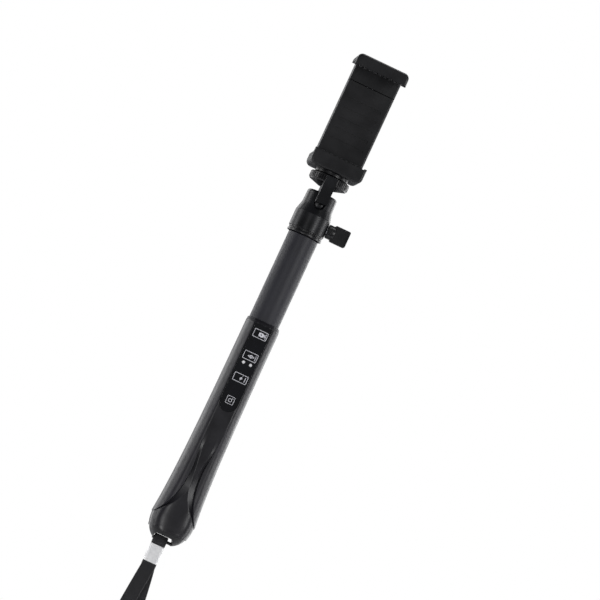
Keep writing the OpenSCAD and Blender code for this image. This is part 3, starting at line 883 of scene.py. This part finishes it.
def grip_edge(z):
    """Half the distance between the grips' inner edges on the front face."""
    if z < 50:
        return 3.8 + 10.5 * ((50 - z) / 35) ** 2.6
    return 3.8 + (PANEL_HALF_W + 0.7 - 3.8) * min(1.0, (z - 50) / 34)


def spine_edge(z):
    """The same on the back, where the spine flares into the bulb."""
    return 5.5 + 8.8 * max(0.0, (40 - z) / 25) ** 3


def crest_edge(z):
    """Half-width of the bulb's pointed tip, and above it of the ridge that runs into the strip."""
    if z < APEX_Z:
        return max(0.03, 12.0 * ((APEX_Z - z) / 20.4) ** 1.75)
    return max(0.03, 3.0 * min(1.0, (z - APEX_Z) / (RIDGE_FADE_Z - APEX_Z)))


def soft_limit(value, limit, blend):
    """The smaller of two values, rounded off over a blend."""
    gap = max(0.0, blend - abs(value - limit)) / blend
    return min(value, limit) - gap * gap * blend / 4


def front_y(x, z, inset, sculpted):
    """The front face at x: the section, flattened and, if sculpted, cut back round the tip."""
    a, b, n = half_width(z) - inset, half_depth(z) - inset, power(z)
    share = min(1.0, abs(x) / a)
    out = b * (1 - share ** n) ** (1 / n) - centre_y(z)
    blend = 0.5 + 2.4 * (1 - ease(z, 15, 45))
    out = soft_limit(out, FRONT_FLAT - inset, blend)
    if sculpted:
        crest, edge = crest_edge(z), grip_edge(z)
        tip = min(1.0, max(0.0, (z - NOTCH_Z) / (APEX_Z - NOTCH_Z)))
        out -= TIP_DEPTH * tip * (1 - ease(z, APEX_Z, RIDGE_FADE_Z))
        slope = max(0.0, min(1.0, (abs(x) - crest) / (edge - crest)))
        out -= FLANK_DEPTH * slope * ease(z, NOTCH_Z, 22) * (1 - ease(z, 44, 74))
    return -out


def section_point(z, angle, inset):
    """A point of the section at an angle; 0 is +X and 90 the back."""
    c, s = math.cos(math.radians(angle)), math.sin(math.radians(angle))
    n = power(z)
    x = (half_width(z) - inset) * math.copysign(abs(c) ** (2 / n), c)
    if s < 0:
        return at(x, front_y(x, z, inset, False), z)
    return at(x, centre_y(z) + (half_depth(z) - inset) * abs(s) ** (2 / n), z)


def edge_angle(edge, z):
    """The angle from the side at which the section reaches an edge's distance from the middle."""
    share = min(1.0, edge / half_width(z))
    return math.degrees(math.acos(share ** (power(z) / 2)))


def levels(low, high):
    """Heights of the rings, closer together over the sculpted lower part and at the shoulder."""
    rings = []
    z = low
    while z < high:
        rings.append(z)
        z += 0.7 if z < 62 else (0.4 if z > 139 else 2.2)
    return rings + [high]


def core_inset(z):
    """How far the shells lie inside the section, with a lip at the cap."""
    lip = 0.28 * (1 - ease(z, CAP_SEAM + 0.4, CAP_SEAM + 2.2))
    return 0.18 + 0.17 * (1 - ease(z, 18, 50)) - lip


def front_half_columns(z):
    """Distances from the middle for the front's grid: across the crest, then across the hollow."""
    crest = crest_edge(z)
    edge = min(grip_edge(z), (half_width(z) - core_inset(z)) * 0.999998)
    crest = min(crest, edge * 0.95)
    inner = [crest * k / 10 for k in range(11)]
    outer = [crest + (edge - crest) * math.sin(math.pi / 2 * k / 26) for k in range(1, 27)]
    return inner + outer


def shelled(piece, thickness):
    """Gives an open skin its wall, inwards."""
    apply_modifier(piece, "SOLIDIFY", thickness=thickness * MM, offset=-1)
    return cleaned(piece)


def front_shell():
    rings = levels(CAP_SEAM + 0.04, HANDLE_TOP)
    halves = [front_half_columns(z) for z in rings]
    count = len(halves[0])

    def place(column, row):
        z = rings[row]
        index = column - (count - 1)
        x = math.copysign(halves[row][abs(index)], index)
        return at(x, front_y(x, z, core_inset(z), True), z)

    piece = grid("front_shell_skin", 2 * count - 1, len(rings), place)
    shelled(piece, 0.6)
    recess = panel_solid("recess", 0.06, -FRONT_FLAT - 3, -FRONT_FLAT + 1.2)
    carved(piece, recess)
    smooth(piece, 35)
    return fitted(piece, "front_shell")


def rear_shell():
    rings = levels(CAP_SEAM + 0.04, HANDLE_TOP)

    def place(column, row):
        z = rings[row]
        side = edge_angle(spine_edge(z), z)
        angle = side + (180 - 2 * side) * column / 48
        return section_point(z, angle, core_inset(z))

    piece = grid("rear_shell_skin", 49, len(rings), place)
    shelled(piece, 0.6)
    socket = span_of("usb_socket")
    window = block("window", [socket[0][0] - 0.25, 6, socket[0][2] - 0.25],
                   [socket[1][0] + 0.25, 14, socket[1][2] + 0.25])
    round_edges(window, lambda a, b: abs(a[1] - b[1]) > 5, 0.8, 4)
    low, high = span_of("switch_case")
    slot = block("slot", [-3.0, 6, low[2] + 0.4], [3.0, 14, high[2] - 0.4])
    round_edges(slot, lambda a, b: abs(a[1] - b[1]) > 5, 0.8, 4)
    screws = span_of("shell_screws")
    holes = [rod("hole", 2.15, (side * (screws[1][0] - 2), 10, 12), 12, "Y", 32)
             for side in (-1, 1)]
    carved(piece, window, slot, *holes)
    smooth(piece, 35)
    return fitted(piece, "rear_shell")


def side_grip(side):
    """A soft overmould from the strip's edge round the side to the spine, pointed at the notch."""
    rings = levels(NOTCH_Z - 0.05, HANDLE_TOP - 0.2)
    columns = 48
    verts, faces = [], []
    for z in rings:
        front = edge_angle(grip_edge(z), z)
        back = edge_angle(spine_edge(z), z)
        wall = 0.8 + 1.3 * (1 - ease(z, 62, 82))
        angles = [-front + (front + back) * k / columns for k in range(columns + 1)]
        ring = [section_point(z, angle, 0.0) for angle in angles]
        ring += [section_point(z, angle, wall) for angle in reversed(angles)]
        verts += [Vector((side * p.x, p.y, p.z)) for p in ring]
    count = 2 * (columns + 1)
    for i in range(len(rings) - 1):
        for k in range(count):
            n = (k + 1) % count
            faces.append((i * count + k, i * count + n, (i + 1) * count + n, (i + 1) * count + k))
    last = (len(rings) - 1) * count
    for k in range(columns):
        faces.append((k, k + 1, count - 2 - k, count - 1 - k))
        faces.append((last + k, last + k + 1, last + count - 2 - k, last + count - 1 - k))
    name = "right_grip_skin" if side > 0 else "left_grip_skin"
    piece = cleaned(from_points(name, verts, [], faces))
    apply_modifier(piece, "BEVEL", width=0.25 * MM, segments=3, limit_method="ANGLE",
                   angle_limit=math.radians(50))
    smooth(piece, 40)
    return fitted(piece, "right_grip" if side > 0 else "left_grip")


def end_cap():
    """The domed end: a closed skin with the lanyard slot through it and a round bar below."""
    seam = CAP_SEAM - 0.04
    rings = [(0.25 + (seam - 0.25) * k / 14, CAP_INSET) for k in range(15)]
    rings += [(seam + 0.01, 1.0), (seam + 1.2, 1.05)]
    sides = 144
    bpy.ops.object.select_all(action="DESELECT")
    bpy.ops.mesh.primitive_cylinder_add(vertices=sides, radius=1, depth=1, location=(0, 0, 0))
    piece = named(bpy.context.object, "end_cap_dome")
    edit(piece)
    bpy.ops.mesh.select_all(action="DESELECT")
    close_edit()
    edges = piece.data.edges
    points = piece.data.vertices
    for edge in edges:
        ends = [points[i].co.z for i in edge.vertices]
        edge.select = abs(ends[0] - ends[1]) > 0.5
    bpy.ops.object.mode_set(mode="EDIT")
    bpy.ops.mesh.select_mode(type="EDGE")
    bpy.ops.mesh.subdivide(number_cuts=len(rings) - 2)
    close_edit()
    for vertex in piece.data.vertices:
        row = round((vertex.co.z + 0.5) * (len(rings) - 1))
        angle = math.degrees(math.atan2(vertex.co.y, vertex.co.x))
        vertex.co = section_point(rings[row][0], angle, rings[row][1])
    slot = block("slot", [SLOT_LEFT, -25, -5], [SLOT_RIGHT, 25, SLOT_TOP])
    round_edges(slot, lambda a, b: abs(a[1] - b[1]) > 5 and a[2] > 0, 1.1, 5)
    carved(piece, slot)
    r, start, end = BAR_RADIUS, SLOT_LEFT - 0.1, SLOT_RIGHT + 0.3
    bar = turned("bar", [(0, start), (r, start), (r, end), (0, end)], 48, "X", (0, 0, BAR_HEIGHT))
    for vertex in bar.data.vertices:
        vertex.co.y += STRAP_Y * MM
    carved(piece, bar, how="UNION")
    softened(piece, 0.3, 3, 35)
    return fitted(piece, "end_cap")


def panel_solid(name, grow, front, back):
    """The panel's outline: a round lower end and a square upper end."""
    low, high = span_of("button_panel")
    radius = (high[0] - low[0]) / 2 + grow
    foot = low[2] + (high[0] - low[0]) / 2
    bottom = [(radius * math.cos(math.radians(a)), foot + radius * math.sin(math.radians(a)))
              for a in range(180, 361, 6)]
    top = high[2] + grow
    corner = 0.8
    cut = corner * 0.3
    upper = [(radius, top - corner), (radius - cut, top - cut), (radius - corner, top),
             (-radius + corner, top), (-radius + cut, top - cut), (-radius, top - corner)]
    return plate(name, bottom + upper, front, back)


def button_panel():
    low, high = span_of("button_panel")
    piece = panel_solid("button_panel_gloss", 0.0, low[1], high[1])
    for key in ("video_key", "mirror_key", "flash_key", "shutter_key"):
        a, b = span_of(key)
        outline = round_outline(((a[0] + b[0]) / 2, (a[2] + b[2]) / 2), b[0] - a[0] + 0.24,
                                b[2] - a[2] + 0.24, 0.75)
        carved(piece, plate("window", outline, -25, 0))
    a, b = span_of("light_pipes")
    for x in (a[0] + 0.95, b[0] - 0.95):
        carved(piece, rod("hole", 1.0, (x, -16, (a[2] + b[2]) / 2), 8, "Y", 48))
    softened(piece, 0.08, 3, 40)
    return fitted(piece, "button_panel")


def outline_frame(name, middle, width, height, radius, line, y):
    """A printed line round a rounded rectangle."""
    outer = plate(name, round_outline(middle, width, height, radius), y, y + 0.06)
    inner = plate("inner", round_outline(middle, width - 2 * line, height - 2 * line,
                                         max(0.1, radius - line)), y - 1, y + 1)
    return carved(outer, inner)


def disc_mark(name, middle, radius, y, hole=0.0):
    mark = rod(name, radius, (middle[0], y + 0.03, middle[1]), 0.06, "Y", 40)
    if hole:
        carved(mark, rod("inner", hole, (middle[0], y, middle[1]), 2, "Y", 40))
    return mark


def side_bar(x, z, y, height):
    return plate("bar", round_outline((x, z), 0.35, height, 0.12), y, y + 0.06)


def camcorder_marks(x, z, y):
    body = plate("mark", round_outline((x + 0.5, z), 3.1, 2.5, 0.8), y, y + 0.06)
    carved(body, rod("lens", 0.4, (x + 0.5, y, z), 2, "Y", 32))
    horn = plate("horn", [(x + 2.1, z + 0.4), (x + 2.9, z + 1.2), (x + 2.9, z - 1.2),
                          (x + 2.1, z - 0.4)], y, y + 0.06)
    return [body, horn, side_bar(x + 3.4, z, y, 3.6)]


def mirror_marks(x, z, y):
    """A lens between two turning arrows."""
    lens = disc_mark("mark", (x + 0.4, z), 1.0, y, 0.4)
    left = plate("arrow", [(x - 0.9, z + 0.7), (x - 1.7, z), (x - 0.9, z - 0.7)], y, y + 0.06)
    right = plate("arrow", [(x + 1.7, z - 0.7), (x + 2.5, z), (x + 1.7, z + 0.7)], y, y + 0.06)
    return [lens, left, right, side_bar(x + 3.2, z, y, 3.2)]


def flash_marks(x, z, y):
    x += 0.4
    bolt = plate("mark", [(x + 0.7, z + 1.6), (x - 1.1, z - 0.3), (x - 0.1, z - 0.3),
                          (x - 0.7, z - 1.6), (x + 1.1, z + 0.3), (x + 0.1, z + 0.3)], y, y + 0.06)
    return [bolt, side_bar(x + 2.5, z, y, 3.2)]


def camera_marks(x, z, y):
    ring = disc_mark("mark", (x - 0.1, z - 0.1), 1.15, y, 0.85)
    window = plate("window", round_outline((x + 1.15, z + 1.2), 0.7, 0.5, 0.15), y, y + 0.06)
    return [ring, window]


def control_key(node, marks, line):
    """A glossy key with a printed frame and icon on its face."""
    low, high = span_of(node)
    middle = ((low[0] + high[0]) / 2, (low[2] + high[2]) / 2)
    width, height = high[0] - low[0], high[2] - low[2]
    key = plate(node + "_cap", round_outline(middle, width, height, 0.65), low[1], high[1])
    softened(key, 0.1, 3, 40)
    key.data.materials.append(PANEL)
    face = low[1] - 0.03
    prints = [outline_frame("frame", middle, width - 0.5, height - 0.5, 0.6, line, face)]
    prints += marks(middle[0], middle[1], face)
    for item in prints:
        item.data.materials.append(INK)
    joined(key, *prints)
    return fitted(key, node)


def light_pipes():
    a, b = span_of("light_pipes")
    pieces = []
    for x in (a[0] + 0.95, b[0] - 0.95):
        middle = (x, (a[1] + b[1]) / 2, (a[2] + b[2]) / 2)
        pipe = rod("light_pipe", 0.94, middle, b[1] - a[1], "Y", 48)
        pieces.append(softened(pipe, 0.2, 3))
    return fitted(named(joined(*pieces), "light_pipe_pair"), "light_pipes")


def switch_slider():
    low, high = span_of("switch_slider")
    piece = block("switch_slider_cap", low, high)
    for k in range(3):
        x = low[0] + 0.75 * (k + 1)
        carved(piece, block("groove", [x - 0.14, high[1] - 0.35, low[2] - 1],
                            [x + 0.14, high[1] + 1, high[2] + 1]))
    softened(piece, 0.15, 2)
    return fitted(piece, "switch_slider")


def usb_socket():
    """A folded steel shell with a tongue inside, chamfered at its two lower corners."""
    low, high = span_of("usb_socket")
    piece = block("usb_socket_shell", low, high)
    round_edges(piece, lambda a, b: abs(a[1] - b[1]) > 2 and abs(a[2] - low[2]) < 0.01, 0.9, 1)
    wall = 0.35
    inside = block("inside", [low[0] + wall, high[1] - 4, low[2] + wall],
                   [high[0] - wall, high[1] + 1, high[2] - wall])
    round_edges(inside, lambda a, b: abs(a[1] - b[1]) > 2 and abs(a[2] - low[2] - wall) < 0.01,
                0.8, 1)
    carved(piece, inside)
    softened(piece, 0.1, 2)
    piece.data.materials.append(STEEL)
    middle = (low[2] + high[2]) / 2
    tongue = block("tongue", [low[0] + 1.4, high[1] - 4.2, middle + 0.05],
                   [high[0] - 1.4, high[1] - 0.9, middle + 0.6])
    tongue.data.materials.append(CHIP)
    return fitted(joined(piece, tongue), "usb_socket")


def cross_cut(x, face, z, reach, half_slot, depth):
    """Cutters for a cross in a screw's head."""
    return [block("cross", [x - u, face - depth, z - v], [x + u, face + 1, z + v])
            for u, v in ((reach, half_slot), (half_slot, reach))]


def shell_screws():
    """Countersunk cross-head screws in the rear shell."""
    low, high = span_of("shell_screws")
    pieces = []
    for side in (-1, 1):
        x = side * (high[0] - 2)
        screw = rod("shell_screw", 1.95, (x, high[1] - 0.8, 12), 1.6, "Y", 48)
        carved(screw, *cross_cut(x, high[1], 12, 1.2, 0.25, 0.7))
        shank = rod("shank", 1.08, (x, (low[1] + high[1] - 1.6) / 2, 12),
                    high[1] - low[1] - 1.6, "Y", 32)
        pieces += [softened(screw, 0.15, 2), shank]
    return fitted(named(joined(*pieces), "shell_screw_pair"), "shell_screws")


front_shell()
rear_shell()
side_grip(-1)
side_grip(1)
end_cap()
button_panel()
control_key("video_key", camcorder_marks, 0.3)
control_key("mirror_key", mirror_marks, 0.3)
control_key("flash_key", flash_marks, 0.3)
control_key("shutter_key", camera_marks, 0.24)
light_pipes()
switch_slider()
usb_socket()
shell_screws()

# === Tubes ===


def tube(node, name, wall, lip):
    """A drawn tube with its mouth rolled over."""
    low, high = span_of(node)
    radius = (high[0] - low[0]) / 2
    bottom, top = low[2], high[2]
    outline = [(radius - wall, bottom), (radius, bottom), (radius, top - lip)]
    outline += arc(radius - lip, top - lip, lip, 0, 90, 5)[1:]
    outline += [(radius - wall, top), (radius - wall, bottom)]
    piece = turned(name, outline, 128)
    smooth(piece, 40)
    return fitted(piece, node)


def guide_ring(node):
    """A nylon ring, chamfered at both ends, with the CAD ring's outer radius and a 0.55 mm wall."""
    low, high = span_of(node)
    outer = (high[0] - low[0]) / 2
    inner = outer - 0.55
    outline = [(inner, low[2]), (outer, low[2]), (outer, high[2]), (inner, high[2]),
               (inner, low[2])]
    ring = turned(node + "_ring", outline, 96)
    softened(ring, 0.1, 2)
    return fitted(ring, node)


tube("outer_tube", "outer_tube_slate", 0.6, 0.55)
for number in range(2, 6):
    tube(f"tube_{number}", f"tube_{number}_bright", 0.6, 0.25)
    guide_ring(f"tail_{number}")
    guide_ring(f"bush_{number - 1}")

# === Ball head ===

BALL_Z = 223.0
BALL_R = 7.5
STEM_R = 2.8
STEM_SLOT_R = 3.6
KNOB_Z = 211.0


def head_base():
    """The flange on the tube, with a turned groove that catches the light, and its plug."""
    low, high = span_of("head_base")
    r = high[0]
    base = 202.3
    outline = [(0, low[2]), (3.85, low[2]), (3.85, base), (r - 0.35, base)]
    outline += arc(r - 0.35, base + 0.35, 0.35, -90, 0, 4)[1:]
    outline += [(r, base + 1.3), (r - 0.3, base + 1.6), (r - 0.75, base + 1.7),
                (r - 0.75, base + 2.15), (r - 0.3, base + 2.25), (r - 0.1, base + 2.45),
                (r - 0.1, base + 3.0), (7.6, base + 3.0), (7.6, high[2]), (0, high[2])]
    piece = turned("head_base_flange", outline, 160)
    softened(piece, 0.08, 2, 35)
    return fitted(piece, "head_base")


def head_housing():
    """A turned cup with a cone shoulder and two ears; a slot in front lets the stem fold down."""
    r = span_of("head_housing")[1][0]
    foot = 205.35
    outline = [(0, foot), (r - 0.3, foot), (r, foot + 0.3), (r, 215.6)]
    outline += arc(r - 1.6, 215.6, 1.6, 0, 25, 4)[1:]
    outline += [(9.85, 220.8), (9.65, 221.9), (9.5, 228.0)]
    outline += arc(7.9, 228.4, 1.6, 0, 90, 8)[1:]
    outline += [(0, 230.0)]
    piece = turned("head_housing_cup", outline, 160)
    bore = turned("bore", [(0, 200), (7.62, 200), (7.62, BALL_Z)]
                  + arc(0, BALL_Z, 7.62, 0, 90, 24)[1:], 96)
    mouth = turned("mouth", [(0, 227.0), (5.2, 227.0), (9.2, 235.0), (0, 235.0)], 96)
    slot = rod("slot", STEM_SLOT_R, (0, -8, BALL_Z), 16, "Y", 64)
    channel = block("channel", [-STEM_SLOT_R, -16, BALL_Z], [STEM_SLOT_R, 0, 240])
    screw_hole = rod("screw_hole", 2.1, (10, 0, KNOB_Z), 10, "X", 48)
    carved(piece, bore, mouth, slot, channel, screw_hole)
    softened(piece, 0.22, 3, 38)
    return fitted(piece, "head_housing")


def ball_stem():
    """The ball, its neck and the platform under the thread."""
    top = 235.5
    outline = arc(0, BALL_Z, BALL_R, -90, 62, 40)
    outline += [(3.1, BALL_Z + 7.2), (STEM_R, BALL_Z + 8.2), (STEM_R, top), (3.175, top)]
    turns = 5
    for k in range(turns * 4):
        depth = (0, 0.28, 0.35, 0.28)[k % 4]
        outline.append((3.175 - depth, top + 0.3 + k * 0.3175))
    outline += [(3.175, 241.9), (3.175, 247.6), (2.6, 248.2), (0, 248.2)]
    piece = turned("ball_and_stem", outline, 96)
    smooth(piece, 40)
    return fitted(piece, "ball_stem")


def lock_disc():
    """A knurled wheel over a plain cone."""
    low, high = span_of("lock_disc")
    r = high[0]
    bottom, top = low[2], high[2]
    rim = 236.8
    outline = [(3.22, bottom), (5.4, bottom), (r - 0.9, rim - 0.75), (r - 0.35, rim - 0.1),
               (r, rim + 0.3), (r, top - 0.5), (r - 0.4, top), (3.22, top), (3.22, bottom)]
    teeth = 52
    steps = teeth * 6
    piece = turned("lock_disc_wheel", outline, steps)
    for vertex in piece.data.vertices:
        radius = math.hypot(vertex.co.x, vertex.co.y) / MM
        height = (vertex.co.z - BASE) / MM
        if radius > r - 0.5 and rim + 0.2 < height < top - 0.3:
            phase = (math.atan2(vertex.co.y, vertex.co.x) * teeth / math.tau) % 1.0
            groove = 0.38 if phase < 0.42 else 0.0
            vertex.co.x *= 1 - groove / radius
            vertex.co.y *= 1 - groove / radius
    smooth(piece, 28)
    return fitted(piece, "lock_disc")


def lock_knob():
    """A flat paddle on a fluted neck, both faces dished between raised edges."""
    low, high = span_of("lock_knob")
    outline = [(0, low[0]), (4.0, low[0]), (4.4, low[0] + 0.4), (4.4, 15.0), (3.9, 16.3), (0, 16.3)]
    neck = turned("neck", outline, 96, "X", (0, 0, KNOB_Z))
    for k in range(10):
        angle = math.tau * (k + 0.5) / 10
        middle = (13.5, 4.65 * math.cos(angle), KNOB_Z + 4.65 * math.sin(angle))
        carved(neck, rod("flute", 0.8, middle, 4.2, "X", 24))
    paddle = block("lock_knob_paddle", [15.0, -2.3, KNOB_Z - 5.2], [25.0, 2.3, KNOB_Z + 5.2])
    round_edges(paddle, lambda a, b: abs(a[1] - b[1]) > 3, 0.9, 4)
    for side in (-1, 1):
        dish = block("dish", [19.3, min(side * 1.8, side * 4), KNOB_Z - 3.9],
                     [24.0, max(side * 1.8, side * 4), KNOB_Z + 3.9])
        round_edges(dish, lambda a, b: abs(a[1] - b[1]) > 2, 0.7, 3)
        carved(paddle, dish)
    carved(paddle, neck, how="UNION")
    bore = rod("bore", 2.08, (14.9, 0, KNOB_Z), 8.4, "X", 48)
    carved(paddle, bore)
    softened(paddle, 0.2, 3, 35)
    return fitted(paddle, "lock_knob")


head_base()
head_housing()
ball_stem()
lock_disc()
lock_knob()

# === Phone clamp ===

TOOTH_PITCH = 3.2


def along_y(a, b):
    return abs(a[1] - b[1]) > 5


def jaw(name, low, high, outer, corner):
    """A jaw's block: its two outer corners and the rim of its front face rounded."""
    piece = block(name, low, high)
    round_edges(piece, lambda a, b: along_y(a, b) and abs(a[2] - outer) < 0.01, corner, 8)
    front = low[1]
    inner = high[2] if outer == low[2] else low[2]

    def front_rim(a, b):
        on_front = abs(a[1] - front) < 0.01 and abs(b[1] - front) < 0.01
        return on_front and not (abs(a[2] - inner) < 0.01 and abs(b[2] - inner) < 0.01)

    round_edges(piece, front_rim, 1.5, 5)
    return piece


def clamp_body():
    low, high = span_of("clamp_body")
    lip_top = 252.2
    half = high[0]
    piece = jaw("clamp_body_shell", [-half, low[1], 243.0], [half, high[1], lip_top], 243.0, 3.4)
    carved(piece, block("slot", [-30, -12, 250], [30, 40, 260]))
    house = block("house", [-15, -2, 248.5], [15, 8, 299.5])
    round_edges(house, lambda a, b: abs(a[2] - b[2]) > 20, 1.2, 4)
    boss = turned("boss", [(0, 241.0), (9.9, 241.0), (10.5, 241.6), (10.5, 244), (0, 244)], 96)
    carved(piece, house, boss, how="UNION")
    for side in (-1, 1):
        x0, x1 = sorted((side * 8.8, side * 12.7))
        carved(piece, block("channel", [x0, 0.3, 260], [x1, 5.7, 310]))
    carved(piece, block("tunnel", [-4, 0, 251], [4, 6.5, 301]),
           block("recess", [-14.05, 6.5, 250.95], [14.05, 12, 305]),
           rod("socket", 4.5, (0, 0, 245), 8, "Z", 64))
    for k in range(5):
        z = 262 + 6.5 * k
        carved(piece, block("rib", [-11, -3, z], [11, -1.6, z + 1.6]))
    softened(piece, 0.25, 3, 35)
    return fitted(piece, "clamp_body")


def back_cover():
    low, high = span_of("back_cover")
    piece = block("back_cover_plate", low, high)
    round_edges(piece, lambda a, b: abs(a[1] - b[1]) > 1, 1.5, 5)
    screws = span_of("cover_screws")
    for x in (screws[0][0] + 1.7, screws[1][0] - 1.7):
        for z in (screws[0][2] + 1.7, screws[1][2] - 1.7):
            carved(piece, rod("hole", 1.8, (x, high[1], z), 2.1, "Y", 32))
    carved(piece, block("panel", [-9, high[1] - 0.35, low[2] + 12], [9, high[1] + 1, high[2] - 16]))
    softened(piece, 0.25, 3, 35)
    return fitted(piece, "back_cover")


def cover_screws():
    low, high = span_of("cover_screws")
    pieces = []
    for x in (low[0] + 1.7, high[0] - 1.7):
        for z in (low[2] + 1.7, high[2] - 1.7):
            head = rod("head", 1.65, (x, high[1] - 0.55, z), 0.9, "Y", 40)
            carved(head, *cross_cut(x, high[1], z, 1.1, 0.22, 0.6))
            pieces += [softened(head, 0.12, 2),
                       rod("shank", 0.88, (x, high[1] - 4.4, z), 6.8, "Y", 24)]
    return fitted(named(joined(*pieces), "cover_screw_set"), "cover_screws")


def upper_jaw():
    low, high = span_of("upper_jaw")
    lip_low = 308.4
    half = high[0]
    piece = jaw("upper_jaw_shell", [-half, low[1], lip_low], [half, high[1], high[2]], high[2], 3.4)
    carved(piece, block("slot", [-30, -12, 300], [30, 40, 310.6]))
    skirt = block("skirt", [-15, -2, 300.0], [15, 8, 312])
    round_edges(skirt, lambda a, b: abs(a[2] - b[2]) > 8, 1.2, 4)
    carved(piece, skirt, how="UNION")
    for side in (-1, 1):
        x0, x1 = sorted((side * 9.0, side * 12.5))
        rail = block("rail", [x0, 0.5, 262], [x1, 5.5, 304])
        carved(piece, rail, how="UNION")
    carved(piece, block("tunnel", [-4, 0, 299], [4, 6.5, 306]))
    softened(piece, 0.25, 3, 35)
    return fitted(piece, "upper_jaw")


def toothed_pad(node, floor, up):
    """A rubber floor with a row of round teeth that stand along the lip's edge."""
    low, high = span_of(node)
    half = high[0]
    back = high[1]
    floor_low, floor_high = sorted((floor - up * 1.0, floor))
    rubber = block(node + "_rubber", [-half + 0.5, -12, floor_low], [half - 0.5, back, floor_high])
    pieces = [softened(rubber, 0.2, 3)]
    liner_low, liner_high = sorted((floor, floor + up * 1.25))
    liner = block("liner", [-half + 0.5, -12, liner_low], [half - 0.5, -11.4, liner_high])
    pieces.append(softened(liner, 0.15, 2))
    for k in range(-5, 6):
        x = k * TOOTH_PITCH
        a, b = sorted((floor + up * 1.1, floor + up * 1.9))
        tooth = block("tooth", [x - 0.9, -14 + 0.1, a], [x + 0.9, -11.5, b])
        pieces.append(softened(tooth, 0.32, 4))
    return fitted(joined(*pieces), node)


def clamp_spring():
    """A close-wound tension spring that stretches between the body and the jaw."""
    low, high = span_of("clamp_spring")
    wire = 0.45
    radius = (high[0] - low[0]) / 2 - wire
    turns = 38
    height = high[2] - low[2] - 2 * wire
    centre_line_y = (low[1] + high[1]) / 2
    bpy.ops.object.select_all(action="DESELECT")
    bpy.ops.mesh.primitive_circle_add(vertices=8, radius=wire * MM, location=(radius * MM, 0, 0),
                                      rotation=(math.pi / 2, 0, 0))
    piece = settled(bpy.context.object, "clamp_spring_coil")
    apply_modifier(piece, "SCREW", axis="Z", angle=math.tau, iterations=turns, steps=20,
                   render_steps=20, screw_offset=height / turns * MM, use_merge_vertices=False)
    place = at(0, centre_line_y, low[2] + wire)
    for vertex in piece.data.vertices:
        vertex.co += place
    edit(piece)
    bpy.ops.mesh.fill_holes(sides=0)
    close_edit()
    cleaned(piece)
    smooth(piece, 60)
    piece.data.materials.append(STEEL)
    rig.slot(piece, node_slots["clamp_spring"])
    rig.replaces(piece, "clamp_spring")
    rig.blend(piece, "clamp", "jaw", start=at(0, centre_line_y, low[2]),
             end=at(0, centre_line_y, high[2]))
    return piece


clamp_body()
back_cover()
cover_screws()
upper_jaw()
toothed_pad("lower_pad", 251.0, 1)
toothed_pad("upper_pad", 309.6, -1)
clamp_spring()

# === Studio ===


def floor_disc():
    bpy.ops.object.select_all(action="DESELECT")
    bpy.ops.mesh.primitive_circle_add(vertices=128, radius=0.62, fill_type="NGON",
                                      location=(0, 0, cad_box[0][2] - FLOOR_GAP * MM))
    disc = named(bpy.context.object, "studio_floor")
    material, shader, where = surface("pale_floor", 0.6)
    clouded(material, shader, where, 60, "#ececee", "#f4f4f5")
    disc.data.materials.append(material)
    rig.stage(disc)


def world_light():
    """White to the eye, and a dimmer grey room for what the surfaces reflect."""
    world = bpy.data.worlds.new("studio")
    bpy.context.scene.world = world
    world.use_nodes = True
    tree = world.node_tree
    tree.nodes.clear()
    out = tree.nodes.new("ShaderNodeOutputWorld")
    mix = tree.nodes.new("ShaderNodeMixShader")
    seen = tree.nodes.new("ShaderNodeBackground")
    room = tree.nodes.new("ShaderNodeBackground")
    path = tree.nodes.new("ShaderNodeLightPath")
    seen.inputs["Color"].default_value = (1, 1, 1, 1)
    seen.inputs["Strength"].default_value = 1.0
    room.inputs["Color"].default_value = (0.92, 0.94, 1.0, 1)
    room.inputs["Strength"].default_value = 0.12
    tree.links.new(path.outputs["Is Camera Ray"], mix.inputs[0])
    tree.links.new(room.outputs[0], mix.inputs[1])
    tree.links.new(seen.outputs[0], mix.inputs[2])
    tree.links.new(mix.outputs[0], out.inputs[0])


def softbox(name, place, aim, size, power_w):
    data = bpy.data.lights.new(name, "AREA")
    data.shape = "RECTANGLE"
    data.size, data.size_y = size
    data.energy = power_w
    light = bpy.data.objects.new(name, data)
    bpy.context.scene.collection.objects.link(light)
    light.location = place
    light.rotation_euler = (Vector(aim) - Vector(place)).to_track_quat("-Z", "Y").to_euler()


floor_disc()
world_light()
SOFTBOXES = [
    ("left_front", (-0.62, -1.75, -0.25), (0, 0, -0.05), (0.30, 0.6), 6),
    ("right_front", (0.95, -1.45, 0.35), (0, 0, 0.1), (0.24, 1.0), 8),
    ("left_side", (-1.55, 0.1, 0.1), (0, 0, 0.05), (0.5, 1.5), 9),
    ("right_side", (1.55, 0.1, 0.1), (0, 0, 0.05), (0.5, 1.5), 10),
    ("left_back", (-0.95, 1.15, 0.2), (0, 0, 0.06), (0.8, 1.7), 12),
    ("right_back", (0.95, 1.15, 0.2), (0, 0, 0.06), (0.8, 1.7), 14),
    ("overhead", (0.1, -0.1, 1.5), (0, 0, 0.1), (0.8, 0.8), 6),
]
for row in SOFTBOXES:
    softbox(*row)
bpy.context.scene.view_settings.view_transform = "Standard"

with open("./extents.json", "w") as handle:
    json.dump({"cad": [list(p) for p in cad_box], "visual": [list(p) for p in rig.bounds()]}, handle)
